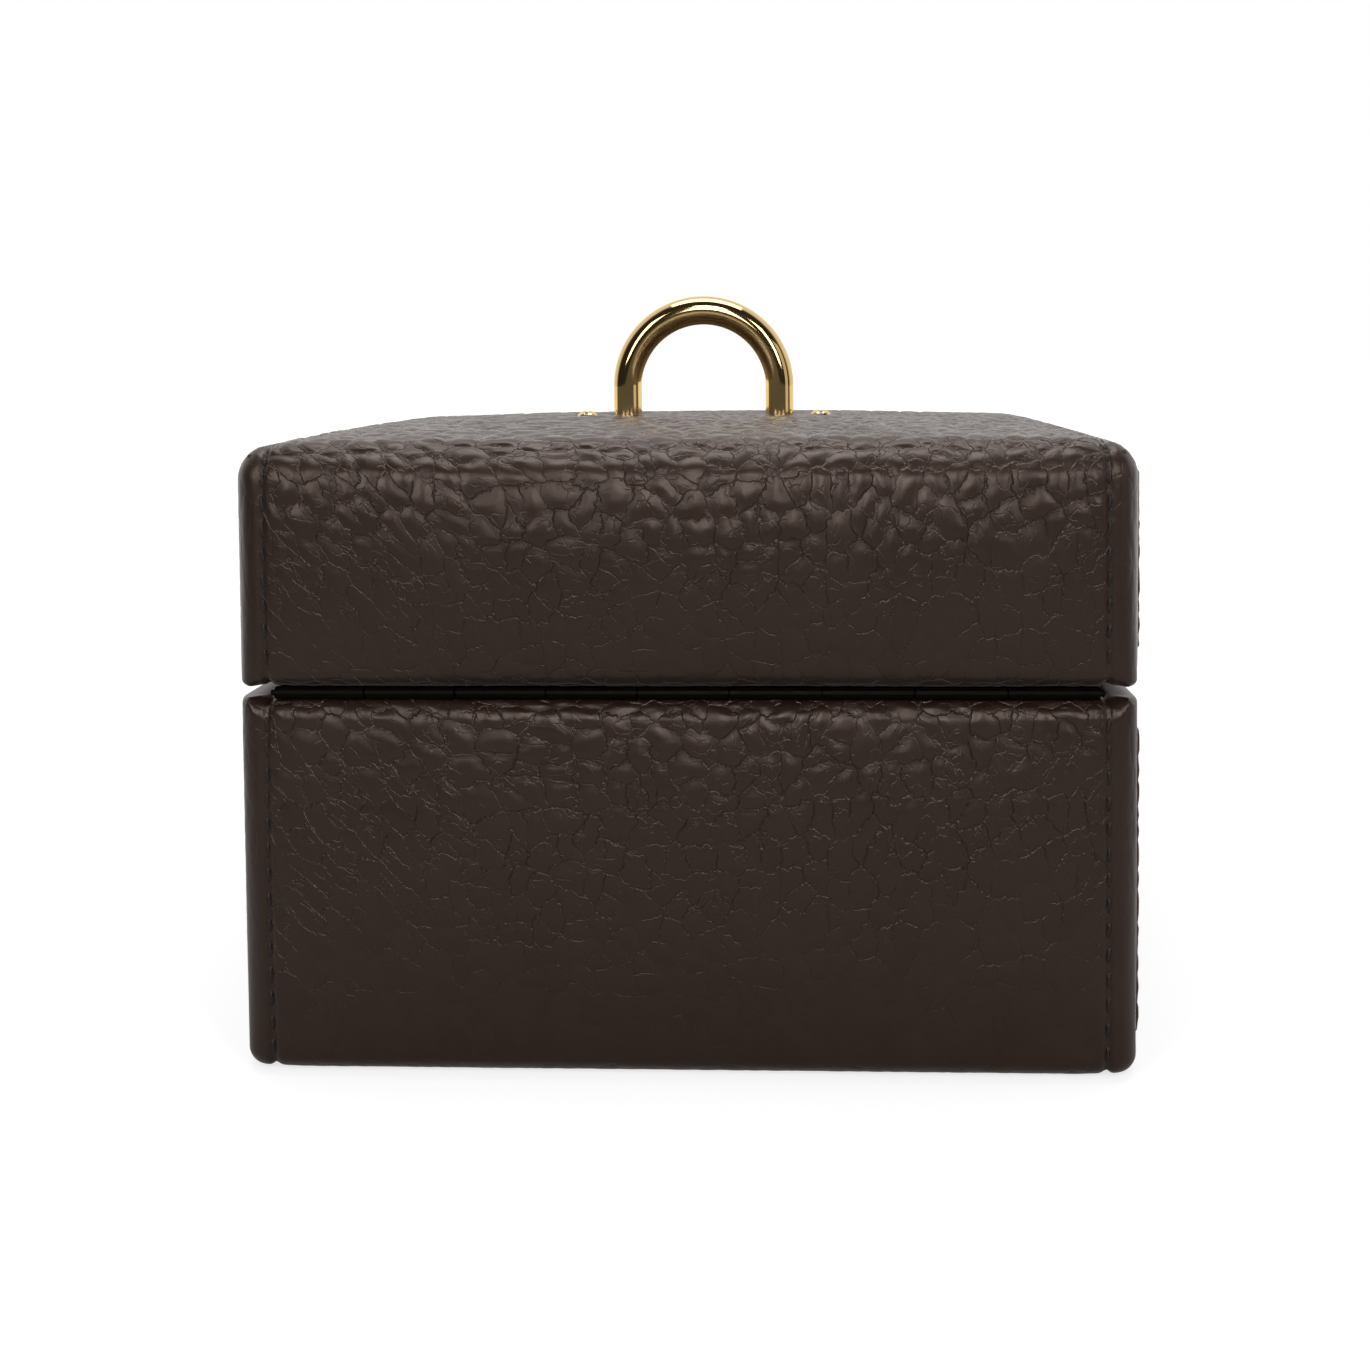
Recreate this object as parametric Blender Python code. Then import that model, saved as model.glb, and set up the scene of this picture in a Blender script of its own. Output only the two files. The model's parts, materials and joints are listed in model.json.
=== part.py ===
"""A small leather-covered jewelry box: a hinged lid with a loop handle over a jewel tray and two drawers.

The back of the box faces -Y and its drawers face +Y. The origin is the middle of the flat underside.
"""

import math

import bmesh
import bpy
from mathutils import Matrix, Vector

MM = 0.001

# Outer leather form
BODY_WIDTH = 125.0 * MM
BODY_DEPTH = 104.0 * MM
BASE_HEIGHT = 52.9 * MM
LID_HEIGHT = 34.4 * MM
SEAM_GAP = 1.4 * MM
SIDE_EDGE_RADIUS = 3.5 * MM
EDGE_RADIUS = 3.0 * MM
PANEL_CROWN = 0.8 * MM
TOP_CROWN = 1.3 * MM
CROWN_POWER = 4
BODY_CELLS = (8, 6, 4)

# Thicknesses of the sheets, from the outside in
LEATHER = 1.6 * MM
TURN_IN = 1.2 * MM
BOARD = 2.4 * MM
LINING = 0.8 * MM
GLUE_GAP = 0.3 * MM

# Leather side panels, set into windows of the wraps
SIDE_BORDER = 4.2 * MM
SIDE_PANEL_PROUD = 0.5 * MM
SIDE_PANEL_RADIUS = 1.2 * MM
SIDE_PANEL_CELLS = (1, 3, 2)

# Bottom panel, which the box stands on
FLOOR_STANDOFF = 0.3 * MM
BOTTOM_BORDER = 6.0 * MM

# Piano hinge in the groove at the back
HINGE_INSET = 1.2 * MM
HINGE_END_MARGIN = 5.5 * MM
KNUCKLES = 9
KNUCKLE_RADIUS = 0.9 * MM
KNUCKLE_GAP = 0.3 * MM
LEAF_THICKNESS = 0.35 * MM
LEAF_SPACING = 0.1 * MM
LEAF_JOIN = 0.2 * MM
PIN_RADIUS = 0.4 * MM
PIN_CLEARANCE = 0.1 * MM
PIN_OVERHANG = 0.5 * MM
HINGE_SIDES = 12

# Drawers, the divider between them and the shelf over them
DRAWER_FRONT_HEIGHT = 22.6 * MM
DRAWER_BOX_HEIGHT = 22.0 * MM
DRAWER_WALL = 1.6 * MM
DRAWER_RUN_GAP = 0.4 * MM
DRAWER_BACK_GAP = 1.5 * MM
DRAWER_HEADROOM = 0.5 * MM
DRAWER_FRONT_RADIUS = 1.5 * MM
DRAWER_FRONT_CELLS = (4, 1, 3)
DRAWER_LINING_DROP = 1.0 * MM
DRAWER_LINING_FRONT_SPACE = 1.8 * MM
DIVIDER = 1.8 * MM
SHELF = 2.0 * MM

# Drawer pulls and their screws
PULL_BASE_RADIUS = 2.6 * MM
PULL_BASE = 0.8 * MM
PULL_NECK_RADIUS = 1.7 * MM
PULL_NECK = 2.0 * MM
PULL_BALL_RADIUS = 3.2 * MM
PULL_SCREW_RADIUS = 0.9 * MM
PULL_SCREW_HEAD_RADIUS = 1.9 * MM
PULL_SCREW_HEAD = 1.0 * MM
PULL_SCREW_REACH = 3.5 * MM
THREAD_CLEARANCE = 0.1 * MM
ROUND_SIDES = 16

# Collar that rises from the base into the lid
COLLAR = 1.0 * MM
COLLAR_GAP = 0.5 * MM
COLLAR_RISE = 3.6 * MM
LINING_ABOVE_COLLAR = 2.3 * MM

# Jewel tray and its ring rolls
TRAY_HEIGHT = 20.0 * MM
TRAY_WALL = 1.6 * MM
RING_ROLLS = 4
RING_ROLL_HEIGHT = 15.0 * MM
RING_ROLL_END_RADIUS = 4.0 * MM
RING_ROLL_ROUNDING = 0.92
RING_ROLL_CELLS = (3, 1, 1)

# Lid padding, which hides the plate and nuts of the handle
LID_PADDING = 3.1 * MM

# Loop handle of round bar
HANDLE_BEND_RADIUS = 12.85 * MM
HANDLE_BAR_RADIUS = 2.4 * MM
HANDLE_CENTRE_RISE = 6.2 * MM
HANDLE_SUNK = 0.5 * MM
HANDLE_BEND_STEPS = 24
HANDLE_SIDES = 16
STUD_RADIUS = 1.4 * MM
HOLE_CLEARANCE = 0.3 * MM
SEAT_CLEARANCE = 0.3 * MM

# Backing plate and nuts
PLATE_END_MARGIN = 4.5 * MM
PLATE_WIDTH = 10.0 * MM
PLATE = 1.0 * MM
NUT_ACROSS_CORNERS = 5.6 * MM
NUT = 1.6 * MM

# Domed slotted screws beside the handle
SCREW_FROM_FOOT = 6.95 * MM
SCREW_HEAD_RADIUS = 1.8 * MM
SCREW_HEAD = 1.2 * MM
SCREW_SHANK_RADIUS = 0.9 * MM
SCREW_SUNK = 0.2 * MM
SCREW_TIP_BELOW_PLATE = 1.0 * MM
SLOT_WIDTH = 0.6 * MM
SLOT_DEPTH = 0.7 * MM
DOME_STEPS = 4

# Bar magnets in the front rims
MAGNET_INSET = 10.2 * MM
MAGNET_LENGTH = 12.0 * MM
MAGNET_THICKNESS = 1.4 * MM
MAGNET_DEPTH = 5.0 * MM
MAGNET_SLOT_CLEARANCE = 0.2 * MM
MAGNET_GAP = 0.3 * MM

# How far a cutter runs past the face that it cuts
CUT_OVERRUN = 2.0 * MM
MERGE_DISTANCE = 0.0001 * MM

# Planes that the pieces share
WRAP_X = BODY_WIDTH / 2
WRAP_Y = BODY_DEPTH / 2
CAVITY_X = WRAP_X - LEATHER
CAVITY_Y = WRAP_Y - LEATHER
BOARD_X = CAVITY_X - GLUE_GAP
BOARD_Y = CAVITY_Y - GLUE_GAP
INNER_X = BOARD_X - BOARD
INNER_Y = BOARD_Y - BOARD
LID_LOW = BASE_HEIGHT + SEAM_GAP
LID_TOP = LID_LOW + LID_HEIGHT
SEAM_MIDDLE = BASE_HEIGHT + SEAM_GAP / 2
AXIS_Y = -WRAP_Y + HINGE_INSET
HINGE_LENGTH = BODY_WIDTH - 2 * HINGE_END_MARGIN
BOTTOM_BOARD_LOW = FLOOR_STANDOFF + LEATHER + GLUE_GAP
BOTTOM_BOARD_TOP = BOTTOM_BOARD_LOW + BOARD
DRAWER_LOW = BOTTOM_BOARD_TOP + GLUE_GAP
DRAWER_FRONT_TOP = DRAWER_LOW + DRAWER_FRONT_HEIGHT
SHELF_LOW = DRAWER_FRONT_TOP + DRAWER_HEADROOM
SHELF_TOP = SHELF_LOW + SHELF
BASE_BOARD_TOP = BASE_HEIGHT - TURN_IN - GLUE_GAP
LID_BOARD_LOW = LID_LOW + TURN_IN + GLUE_GAP
LID_CEILING_TOP = LID_TOP - LEATHER - GLUE_GAP
LID_CEILING_LOW = LID_CEILING_TOP - BOARD
PLATE_TOP = LID_CEILING_LOW - GLUE_GAP
PLATE_LOW = PLATE_TOP - PLATE
NUT_LOW = PLATE_LOW - GLUE_GAP - NUT
SCREW_OFFSET = HANDLE_BEND_RADIUS + SCREW_FROM_FOOT
PLATE_LENGTH = 2 * (SCREW_OFFSET + PLATE_END_MARGIN)
MAGNET_OFFSET = INNER_X - MAGNET_INSET - MAGNET_LENGTH / 2
COLLAR_TOP = BASE_HEIGHT + COLLAR_RISE
COLLAR_X = INNER_X - COLLAR_GAP
COLLAR_Y = INNER_Y - COLLAR_GAP
TRAY_X = COLLAR_X - COLLAR - GLUE_GAP
TRAY_Y = COLLAR_Y - COLLAR - GLUE_GAP
TRAY_LOW = SHELF_TOP + GLUE_GAP
DRAWER_BACK_Y = -INNER_Y + DRAWER_BACK_GAP
DRAWER_FRONT_BACK_Y = INNER_Y + 2 * GLUE_GAP
DRAWER_BOX_FRONT_Y = DRAWER_FRONT_BACK_Y - GLUE_GAP
DRAWER_NEAR_X = DIVIDER / 2 + DRAWER_RUN_GAP
DRAWER_FAR_X = INNER_X - DRAWER_RUN_GAP
WINDOW_X = INNER_X - GLUE_GAP

FINISHES = {
    "leather": ((0.045, 0.029, 0.023), 0.5, 0.0),
    "suede": ((0.19, 0.13, 0.095), 0.95, 0.0),
    "board": ((0.30, 0.25, 0.20), 0.9, 0.0),
    "gold": ((0.80, 0.58, 0.26), 0.12, 1.0),
    "bronze": ((0.07, 0.05, 0.035), 0.4, 1.0),
    "steel": ((0.55, 0.55, 0.56), 0.35, 1.0),
    "foam": ((0.60, 0.58, 0.52), 0.95, 0.0),
}


def clear_scene():
    """Remove what Blender starts with."""
    for item in list(bpy.data.objects):
        bpy.data.objects.remove(item)


def paint(piece, finish):
    """Give a piece its own material."""
    colour, roughness, metallic = FINISHES[finish]
    material = bpy.data.materials.new(piece.name)
    material.use_nodes = True
    shader = material.node_tree.nodes["Principled BSDF"]
    shader.inputs["Base Color"].default_value = (*colour, 1.0)
    shader.inputs["Roughness"].default_value = roughness
    shader.inputs["Metallic"].default_value = metallic
    piece.data.materials.clear()
    piece.data.materials.append(material)


def add_piece(name, builder, location):
    """Turn a bmesh into an object at a place."""
    bmesh.ops.recalc_face_normals(builder, faces=builder.faces)
    mesh = bpy.data.meshes.new(name)
    builder.to_mesh(mesh)
    builder.free()
    piece = bpy.data.objects.new(name, mesh)
    piece.location = location
    bpy.context.collection.objects.link(piece)
    return piece


def box(name, low, high):
    """A plain box between two corners."""
    low = Vector(low)
    high = Vector(high)
    builder = bmesh.new()
    bmesh.ops.create_cube(builder, size=1.0, matrix=Matrix.Diagonal((*(high - low), 1.0)))
    return add_piece(name, builder, (low + high) / 2)


def rod(name, start, end, radius, sides=ROUND_SIDES):
    """A round bar between two points."""
    start = Vector(start)
    end = Vector(end)
    along = end - start
    turn = along.to_track_quat("Z", "Y").to_matrix().to_4x4()
    builder = bmesh.new()
    bmesh.ops.create_cone(
        builder, cap_ends=True, segments=sides, radius1=radius, radius2=radius, depth=along.length, matrix=turn
    )
    return add_piece(name, builder, (start + end) / 2)


def turned(name, profile, location, tilt=0.0):
    """Spin a profile of (radius, height) points about Z, then tilt it about X."""
    builder = bmesh.new()
    points = [builder.verts.new((radius, 0.0, height)) for radius, height in profile]
    edges = [builder.edges.new(pair) for pair in zip(points, points[1:])]
    bmesh.ops.spin(
        builder, geom=points + edges, axis=(0, 0, 1), cent=(0, 0, 0), angle=2 * math.pi, steps=ROUND_SIDES
    )
    bmesh.ops.remove_doubles(builder, verts=builder.verts, dist=MERGE_DISTANCE)
    bmesh.ops.rotate(builder, verts=builder.verts, cent=(0, 0, 0), matrix=Matrix.Rotation(tilt, 3, "X"))
    piece = add_piece(name, builder, location)
    piece.data.shade_smooth()
    piece.data.set_sharp_from_angle(angle=math.radians(35))
    return piece


def stations(half, radius, cells):
    """Where the cuts of a soft box lie along one axis: in its rounded edges and over its flat."""
    flat = half - radius
    ease = radius * math.tan(math.pi / 8)
    evenly = [flat * (2 * i / cells - 1) for i in range(cells + 1)]
    return [-flat - ease, *evenly, flat + ease]


def softened(point, half, radii, crowns):
    """Move a point of a box's surface onto its rounded edge and its crowned face."""
    flats = [h - r for h, r in zip(half, radii)]
    core = Vector([max(-f, min(f, p)) for p, f in zip(point, flats)])
    lean = Vector([(p - c) / r for p, c, r in zip(point, core, radii)]).normalized()
    shaped = Vector([c + d * r for c, d, r in zip(core, lean, radii)])
    for (axis, side), crown in crowns.items():
        if side * lean[axis] > 0.999:
            others = [i for i in range(3) if i != axis]
            swell = math.prod(1 - abs(core[i] / flats[i]) ** CROWN_POWER for i in others)
            shaped[axis] += side * crown * swell
    return shaped


def soft_box(name, low, high, radii, crowns, cells):
    """A box with rounded edges whose faces swell by their crowns, keyed by axis and side."""
    low = Vector(low)
    high = Vector(high)
    half = (high - low) / 2
    builder = bmesh.new()
    bmesh.ops.create_cube(builder, size=2.0, matrix=Matrix.Diagonal((*half, 1.0)))
    for axis in range(3):
        normal = Vector([float(i == axis) for i in range(3)])
        for place in stations(half[axis], radii[axis], cells[axis]):
            everything = builder.verts[:] + builder.edges[:] + builder.faces[:]
            bmesh.ops.bisect_plane(
                builder, geom=everything, dist=MERGE_DISTANCE, plane_co=normal * place, plane_no=normal
            )
    for vert in builder.verts:
        vert.co = softened(vert.co, half, radii, crowns)
    bmesh.ops.triangulate(builder, faces=builder.faces)
    piece = add_piece(name, builder, (low + high) / 2)
    piece.data.shade_smooth()
    return piece


def combine(piece, tool, operation):
    """Apply a Boolean of one object to another, and remove the second."""
    modifier = piece.modifiers.new("shape", "BOOLEAN")
    modifier.operation = operation
    modifier.solver = "EXACT"
    modifier.object = tool
    bpy.context.view_layer.update()
    graph = bpy.context.evaluated_depsgraph_get()
    piece.data = bpy.data.meshes.new_from_object(piece.evaluated_get(graph))
    piece.modifiers.clear()
    bpy.data.objects.remove(tool)


def cut(piece, tool):
    combine(piece, tool, "DIFFERENCE")


def unite(piece, tool):
    combine(piece, tool, "UNION")


def drill(piece, start, end, radius):
    """Cut a round hole that runs past both points."""
    start = Vector(start)
    end = Vector(end)
    past = (end - start).normalized() * CUT_OVERRUN
    cut(piece, rod("hole", start - past, end + past, radius))


def mount_on(body, finish, *pieces):
    """Give the pieces their finish and fasten them to a body's empty."""
    for piece in pieces:
        paint(piece, finish)
        piece.parent = body
        piece.location = piece.location - body.location


def body_empty(name, location):
    """The empty that a body's pieces hang on, placed on its joint's axis."""
    empty = bpy.data.objects.new(name, None)
    empty.location = location
    bpy.context.collection.objects.link(empty)
    return empty


def lid_surface(x, y):
    """Height of the lid's crowned leather at a place."""
    across = 1 - abs(x / (WRAP_X - SIDE_EDGE_RADIUS)) ** CROWN_POWER
    along = 1 - abs(y / (WRAP_Y - EDGE_RADIUS)) ** CROWN_POWER
    return LID_TOP + TOP_CROWN * across * along


def leather_body(name, low_z, high_z, crowns, rim_side):
    """Leather over a carcass: outer form, room for the boards, and a rim turned in over their edges."""
    radii = (SIDE_EDGE_RADIUS, EDGE_RADIUS, EDGE_RADIUS)
    shell = soft_box(name, (-WRAP_X, -WRAP_Y, low_z), (WRAP_X, WRAP_Y, high_z), radii, crowns, BODY_CELLS)
    bottom_skin, top_skin = (TURN_IN, LEATHER) if rim_side < 0 else (LEATHER, TURN_IN)
    low = (-CAVITY_X, -CAVITY_Y, low_z + bottom_skin)
    high = (CAVITY_X, CAVITY_Y, high_z - top_skin)
    cut(shell, box("room", low, high))
    middle = (low_z + high_z) / 2
    past_rim = low_z - CUT_OVERRUN if rim_side < 0 else high_z + CUT_OVERRUN
    mouth_low, mouth_high = sorted((middle, past_rim))
    cut(shell, box("mouth", (-INNER_X, -INNER_Y, mouth_low), (INNER_X, INNER_Y, mouth_high)))
    reach = WRAP_X + CUT_OVERRUN
    window_y = WRAP_Y - SIDE_BORDER
    window = box("window", (-reach, -window_y, low_z + SIDE_BORDER), (reach, window_y, high_z - SIDE_BORDER))
    cut(shell, window)
    return shell


def side_panels(prefix, low_z, high_z):
    """The leather panels in the side windows of a wrap."""
    panels = []
    for word, side in (("left", -1), ("right", 1)):
        near, far = sorted((side * (BOARD_X + GLUE_GAP), side * (WRAP_X + SIDE_PANEL_PROUD)))
        panel_y = WRAP_Y - SIDE_BORDER - GLUE_GAP
        panel = soft_box(
            f"{prefix}_{word}_panel",
            (near, -panel_y, low_z + SIDE_BORDER + GLUE_GAP),
            (far, panel_y, high_z - SIDE_BORDER - GLUE_GAP),
            (SIDE_PANEL_RADIUS / 2, SIDE_PANEL_RADIUS, SIDE_PANEL_RADIUS),
            {},
            SIDE_PANEL_CELLS,
        )
        panels.append(panel)
    return panels


def wall_boards(prefix, low_z, high_z):
    """The left, right and back boards of a carcass."""
    left = box(f"{prefix}_left_board", (-BOARD_X, -BOARD_Y, low_z), (-INNER_X, BOARD_Y, high_z))
    right = box(f"{prefix}_right_board", (INNER_X, -BOARD_Y, low_z), (BOARD_X, BOARD_Y, high_z))
    across = INNER_X - GLUE_GAP
    back = box(f"{prefix}_back_board", (-across, -BOARD_Y, low_z), (across, -INNER_Y, high_z))
    return [left, right, back]


def front_board(prefix, low_z, high_z):
    """The front board of a carcass, between its side boards."""
    across = INNER_X - GLUE_GAP
    return box(f"{prefix}_front_board", (-across, INNER_Y, low_z), (across, BOARD_Y, high_z))


def open_box(name, low, high, wall, floor):
    """A box with a floor and four walls, open at the top."""
    tray = box(name, low, high)
    inner_low = (low[0] + wall, low[1] + wall, low[2] + floor)
    inner_high = (high[0] - wall, high[1] - wall, high[2] + CUT_OVERRUN)
    cut(tray, box("inside", inner_low, inner_high))
    return tray


def magnet_slots(board, wrap, prefix, rim_z, into):
    """Two bar magnets in a front rim, with their slots. into is the way down into the board."""
    magnets = []
    face = rim_z - into * (SEAM_GAP - MAGNET_GAP) / 2
    middle_y = (INNER_Y + BOARD_Y) / 2
    for word, side in (("left", -1), ("right", 1)):
        half = Vector((MAGNET_LENGTH, MAGNET_THICKNESS, MAGNET_DEPTH)) / 2
        centre = Vector((side * MAGNET_OFFSET, middle_y, face + into * MAGNET_DEPTH / 2))
        slack = Vector((1, 1, 1)) * MAGNET_SLOT_CLEARANCE
        for piece in (board, wrap):
            cut(piece, box("slot", centre - half - slack, centre + half + slack))
        magnets.append(box(f"{prefix}_{word}_magnet", centre - half, centre + half))
    return magnets


def knuckle_spans(first):
    """The stretches of the hinge line that one leaf's knuckles take."""
    pitch = HINGE_LENGTH / KNUCKLES
    starts = [i * pitch - HINGE_LENGTH / 2 for i in range(first, KNUCKLES, 2)]
    return [(start + KNUCKLE_GAP / 2, start + pitch - KNUCKLE_GAP / 2) for start in starts]


def hinge_leaf(name, first, low_z):
    """A leaf of the piano hinge: a strip, and tabs that carry every other knuckle, bored for the pin."""
    high_z = low_z + LEAF_THICKNESS
    half = HINGE_LENGTH / 2
    strip_y = AXIS_Y + KNUCKLE_RADIUS + KNUCKLE_GAP
    leaf = box(name, (-half, strip_y, low_z), (half, -INNER_Y, high_z))
    for start, end in knuckle_spans(first):
        unite(leaf, box("tab", (start, AXIS_Y, low_z), (end, strip_y + LEAF_JOIN, high_z)))
        barrel = rod("barrel", (start, AXIS_Y, SEAM_MIDDLE), (end, AXIS_Y, SEAM_MIDDLE), KNUCKLE_RADIUS, HINGE_SIDES)
        unite(leaf, barrel)
    reach = half + CUT_OVERRUN
    bore_radius = PIN_RADIUS + PIN_CLEARANCE
    cut(leaf, rod("bore", (-reach, AXIS_Y, SEAM_MIDDLE), (reach, AXIS_Y, SEAM_MIDDLE), bore_radius, HINGE_SIDES))
    return leaf


def build_hinge(base, lid):
    """Both leaves and the pin."""
    half_space = LEAF_SPACING / 2
    base_leaf = hinge_leaf("base_hinge_leaf", 0, SEAM_MIDDLE - half_space - LEAF_THICKNESS)
    lid_leaf = hinge_leaf("lid_hinge_leaf", 1, SEAM_MIDDLE + half_space)
    half = HINGE_LENGTH / 2 + PIN_OVERHANG
    pin = rod("hinge_pin", (-half, AXIS_Y, SEAM_MIDDLE), (half, AXIS_Y, SEAM_MIDDLE), PIN_RADIUS, HINGE_SIDES)
    mount_on(base, "bronze", base_leaf, pin)
    mount_on(lid, "bronze", lid_leaf)


def base_leather():
    """The base's wrap, with windows for the bottom panel and the drawers."""
    crowns = {(1, -1): PANEL_CROWN, (1, 1): PANEL_CROWN}
    wrap = leather_body("base_wrap", FLOOR_STANDOFF, BASE_HEIGHT, crowns, 1)
    window = box(
        "bottom_window",
        (-WRAP_X + BOTTOM_BORDER, -WRAP_Y + BOTTOM_BORDER, -CUT_OVERRUN),
        (WRAP_X - BOTTOM_BORDER, WRAP_Y - BOTTOM_BORDER, BOTTOM_BOARD_LOW),
    )
    cut(wrap, window)
    reach = WRAP_Y + CUT_OVERRUN
    cut(wrap, box("drawer_window", (-WINDOW_X, INNER_Y, BOTTOM_BOARD_TOP), (WINDOW_X, reach, SHELF_LOW)))
    return wrap


def bottom_panel():
    """The flat panel under the box."""
    x = WRAP_X - BOTTOM_BORDER - GLUE_GAP
    y = WRAP_Y - BOTTOM_BORDER - GLUE_GAP
    return box("bottom_panel", (-x, -y, 0.0), (x, y, BOTTOM_BOARD_LOW - GLUE_GAP))


def inner_collar():
    """The lined card frame that stands in the base and rises into the lid."""
    collar = box("inner_collar", (-COLLAR_X, -COLLAR_Y, TRAY_LOW), (COLLAR_X, COLLAR_Y, COLLAR_TOP))
    x = COLLAR_X - COLLAR
    y = COLLAR_Y - COLLAR
    cut(collar, box("inside", (-x, -y, TRAY_LOW - CUT_OVERRUN), (x, y, COLLAR_TOP + CUT_OVERRUN)))
    return collar


def tray_rooms():
    """Corners of the tray's compartments: one long one for rings and two square ones."""
    half_wall = TRAY_WALL / 2
    far_x = TRAY_X - TRAY_WALL
    far_y = TRAY_Y - TRAY_WALL
    rings = ((-far_x, -far_y), (-half_wall, far_y))
    near = ((half_wall, -far_y), (far_x, -half_wall))
    far = ((half_wall, half_wall), (far_x, far_y))
    return [rings, near, far]


def jewel_tray():
    """The fitted tray over the drawers."""
    high = TRAY_LOW + TRAY_HEIGHT
    tray = box("jewel_tray", (-TRAY_X, -TRAY_Y, TRAY_LOW), (TRAY_X, TRAY_Y, high))
    for low_corner, high_corner in tray_rooms():
        room = box("room", (*low_corner, TRAY_LOW + TRAY_WALL), (*high_corner, high + CUT_OVERRUN))
        cut(tray, room)
    return tray


def ring_rolls():
    """Padded rolls side by side in the ring compartment."""
    (low_x, low_y), (high_x, high_y) = tray_rooms()[0]
    floor = TRAY_LOW + TRAY_WALL + GLUE_GAP
    pitch = (high_y - low_y - GLUE_GAP) / RING_ROLLS
    width = pitch - GLUE_GAP
    radii = (RING_ROLL_END_RADIUS, width / 2 * RING_ROLL_ROUNDING, RING_ROLL_HEIGHT / 2 * RING_ROLL_ROUNDING)
    rolls = []
    for i in range(RING_ROLLS):
        start = low_y + GLUE_GAP + i * pitch
        low = (low_x + GLUE_GAP, start, floor)
        high = (high_x - GLUE_GAP, start + width, floor + RING_ROLL_HEIGHT)
        rolls.append(soft_box(f"ring_roll_{i + 1}", low, high, radii, {}, RING_ROLL_CELLS))
    return rolls


def build_base(base):
    """Everything that stays with the base."""
    wrap = base_leather()
    boards = wall_boards("base", BOTTOM_BOARD_TOP + GLUE_GAP, BASE_BOARD_TOP)
    front = front_board("base", SHELF_LOW, BASE_BOARD_TOP)
    floor = box("base_bottom_board", (-BOARD_X, -BOARD_Y, BOTTOM_BOARD_LOW), (BOARD_X, BOARD_Y, BOTTOM_BOARD_TOP))
    x = INNER_X - GLUE_GAP
    y = INNER_Y - GLUE_GAP
    shelf = box("tray_shelf", (-x, -y, SHELF_LOW), (x, y, SHELF_TOP))
    divider = box("drawer_divider", (-DIVIDER / 2, -y, DRAWER_LOW), (DIVIDER / 2, y, SHELF_LOW - GLUE_GAP))
    magnets = magnet_slots(front, wrap, "base", BASE_HEIGHT, -1)
    mount_on(base, "leather", wrap, bottom_panel(), *side_panels("base", FLOOR_STANDOFF, BASE_HEIGHT))
    mount_on(base, "board", *boards, front, floor, shelf, divider)
    mount_on(base, "steel", *magnets)
    mount_on(base, "suede", inner_collar(), jewel_tray(), *ring_rolls())


def build_lid(lid):
    """The lid's leather, carcass, padding and lining, drilled for the handle."""
    crowns = {(1, -1): PANEL_CROWN, (1, 1): PANEL_CROWN, (2, 1): TOP_CROWN}
    wrap = leather_body("lid_wrap", LID_LOW, LID_TOP, crowns, -1)
    ceiling = box("lid_top_board", (-BOARD_X, -BOARD_Y, LID_CEILING_LOW), (BOARD_X, BOARD_Y, LID_CEILING_TOP))
    walls = wall_boards("lid", LID_BOARD_LOW, LID_CEILING_LOW - GLUE_GAP)
    front = front_board("lid", LID_BOARD_LOW, LID_CEILING_LOW - GLUE_GAP)
    magnets = magnet_slots(front, wrap, "lid", LID_LOW, 1)
    drill_lid(wrap, ceiling)
    mount_on(lid, "leather", wrap, *side_panels("lid", LID_LOW, LID_TOP))
    mount_on(lid, "board", ceiling, front, *walls)
    mount_on(lid, "steel", *magnets)
    mount_on(lid, "foam", lid_padding())
    mount_on(lid, "suede", lid_lining())


def drill_lid(wrap, ceiling):
    """Seats in the leather, and holes through leather and board, for the handle and its screws."""
    fittings = (
        (HANDLE_BEND_RADIUS, HANDLE_BAR_RADIUS, HANDLE_SUNK, STUD_RADIUS),
        (SCREW_OFFSET, SCREW_HEAD_RADIUS, SCREW_SUNK, SCREW_SHANK_RADIUS),
    )
    for offset, head, sunk, shank in fittings:
        for x in (-offset, offset):
            top = lid_surface(x, 0.0)
            seat = top - sunk - SEAT_CLEARANCE
            rim = top + CUT_OVERRUN
            cut(wrap, rod("seat", (x, 0.0, seat), (x, 0.0, rim), head + HOLE_CLEARANCE))
            for piece in (wrap, ceiling):
                drill(piece, (x, 0.0, LID_CEILING_LOW), (x, 0.0, top), shank + HOLE_CLEARANCE)


def lid_padding():
    """Foam under the lid's top board, with a window for the handle's plate and nuts."""
    x = INNER_X - GLUE_GAP
    y = INNER_Y - GLUE_GAP
    high = PLATE_TOP
    low = high - LID_PADDING
    padding = box("lid_padding", (-x, -y, low), (x, y, high))
    half_length = PLATE_LENGTH / 2 + GLUE_GAP
    half_width = PLATE_WIDTH / 2 + GLUE_GAP
    room = box(
        "room", (-half_length, -half_width, low - CUT_OVERRUN), (half_length, half_width, high + CUT_OVERRUN)
    )
    cut(padding, room)
    return padding


def lid_lining():
    """The suede inside the lid, a shallow tray turned over, ending above the collar."""
    x = INNER_X - GLUE_GAP
    y = INNER_Y - GLUE_GAP
    high = PLATE_TOP - LID_PADDING - GLUE_GAP
    low = COLLAR_TOP + LINING_ABOVE_COLLAR
    lining = box("lid_lining", (-x, -y, low), (x, y, high))
    cut(lining, box("inside", (LINING - x, LINING - y, low - CUT_OVERRUN), (x - LINING, y - LINING, high - LINING)))
    return lining


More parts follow.
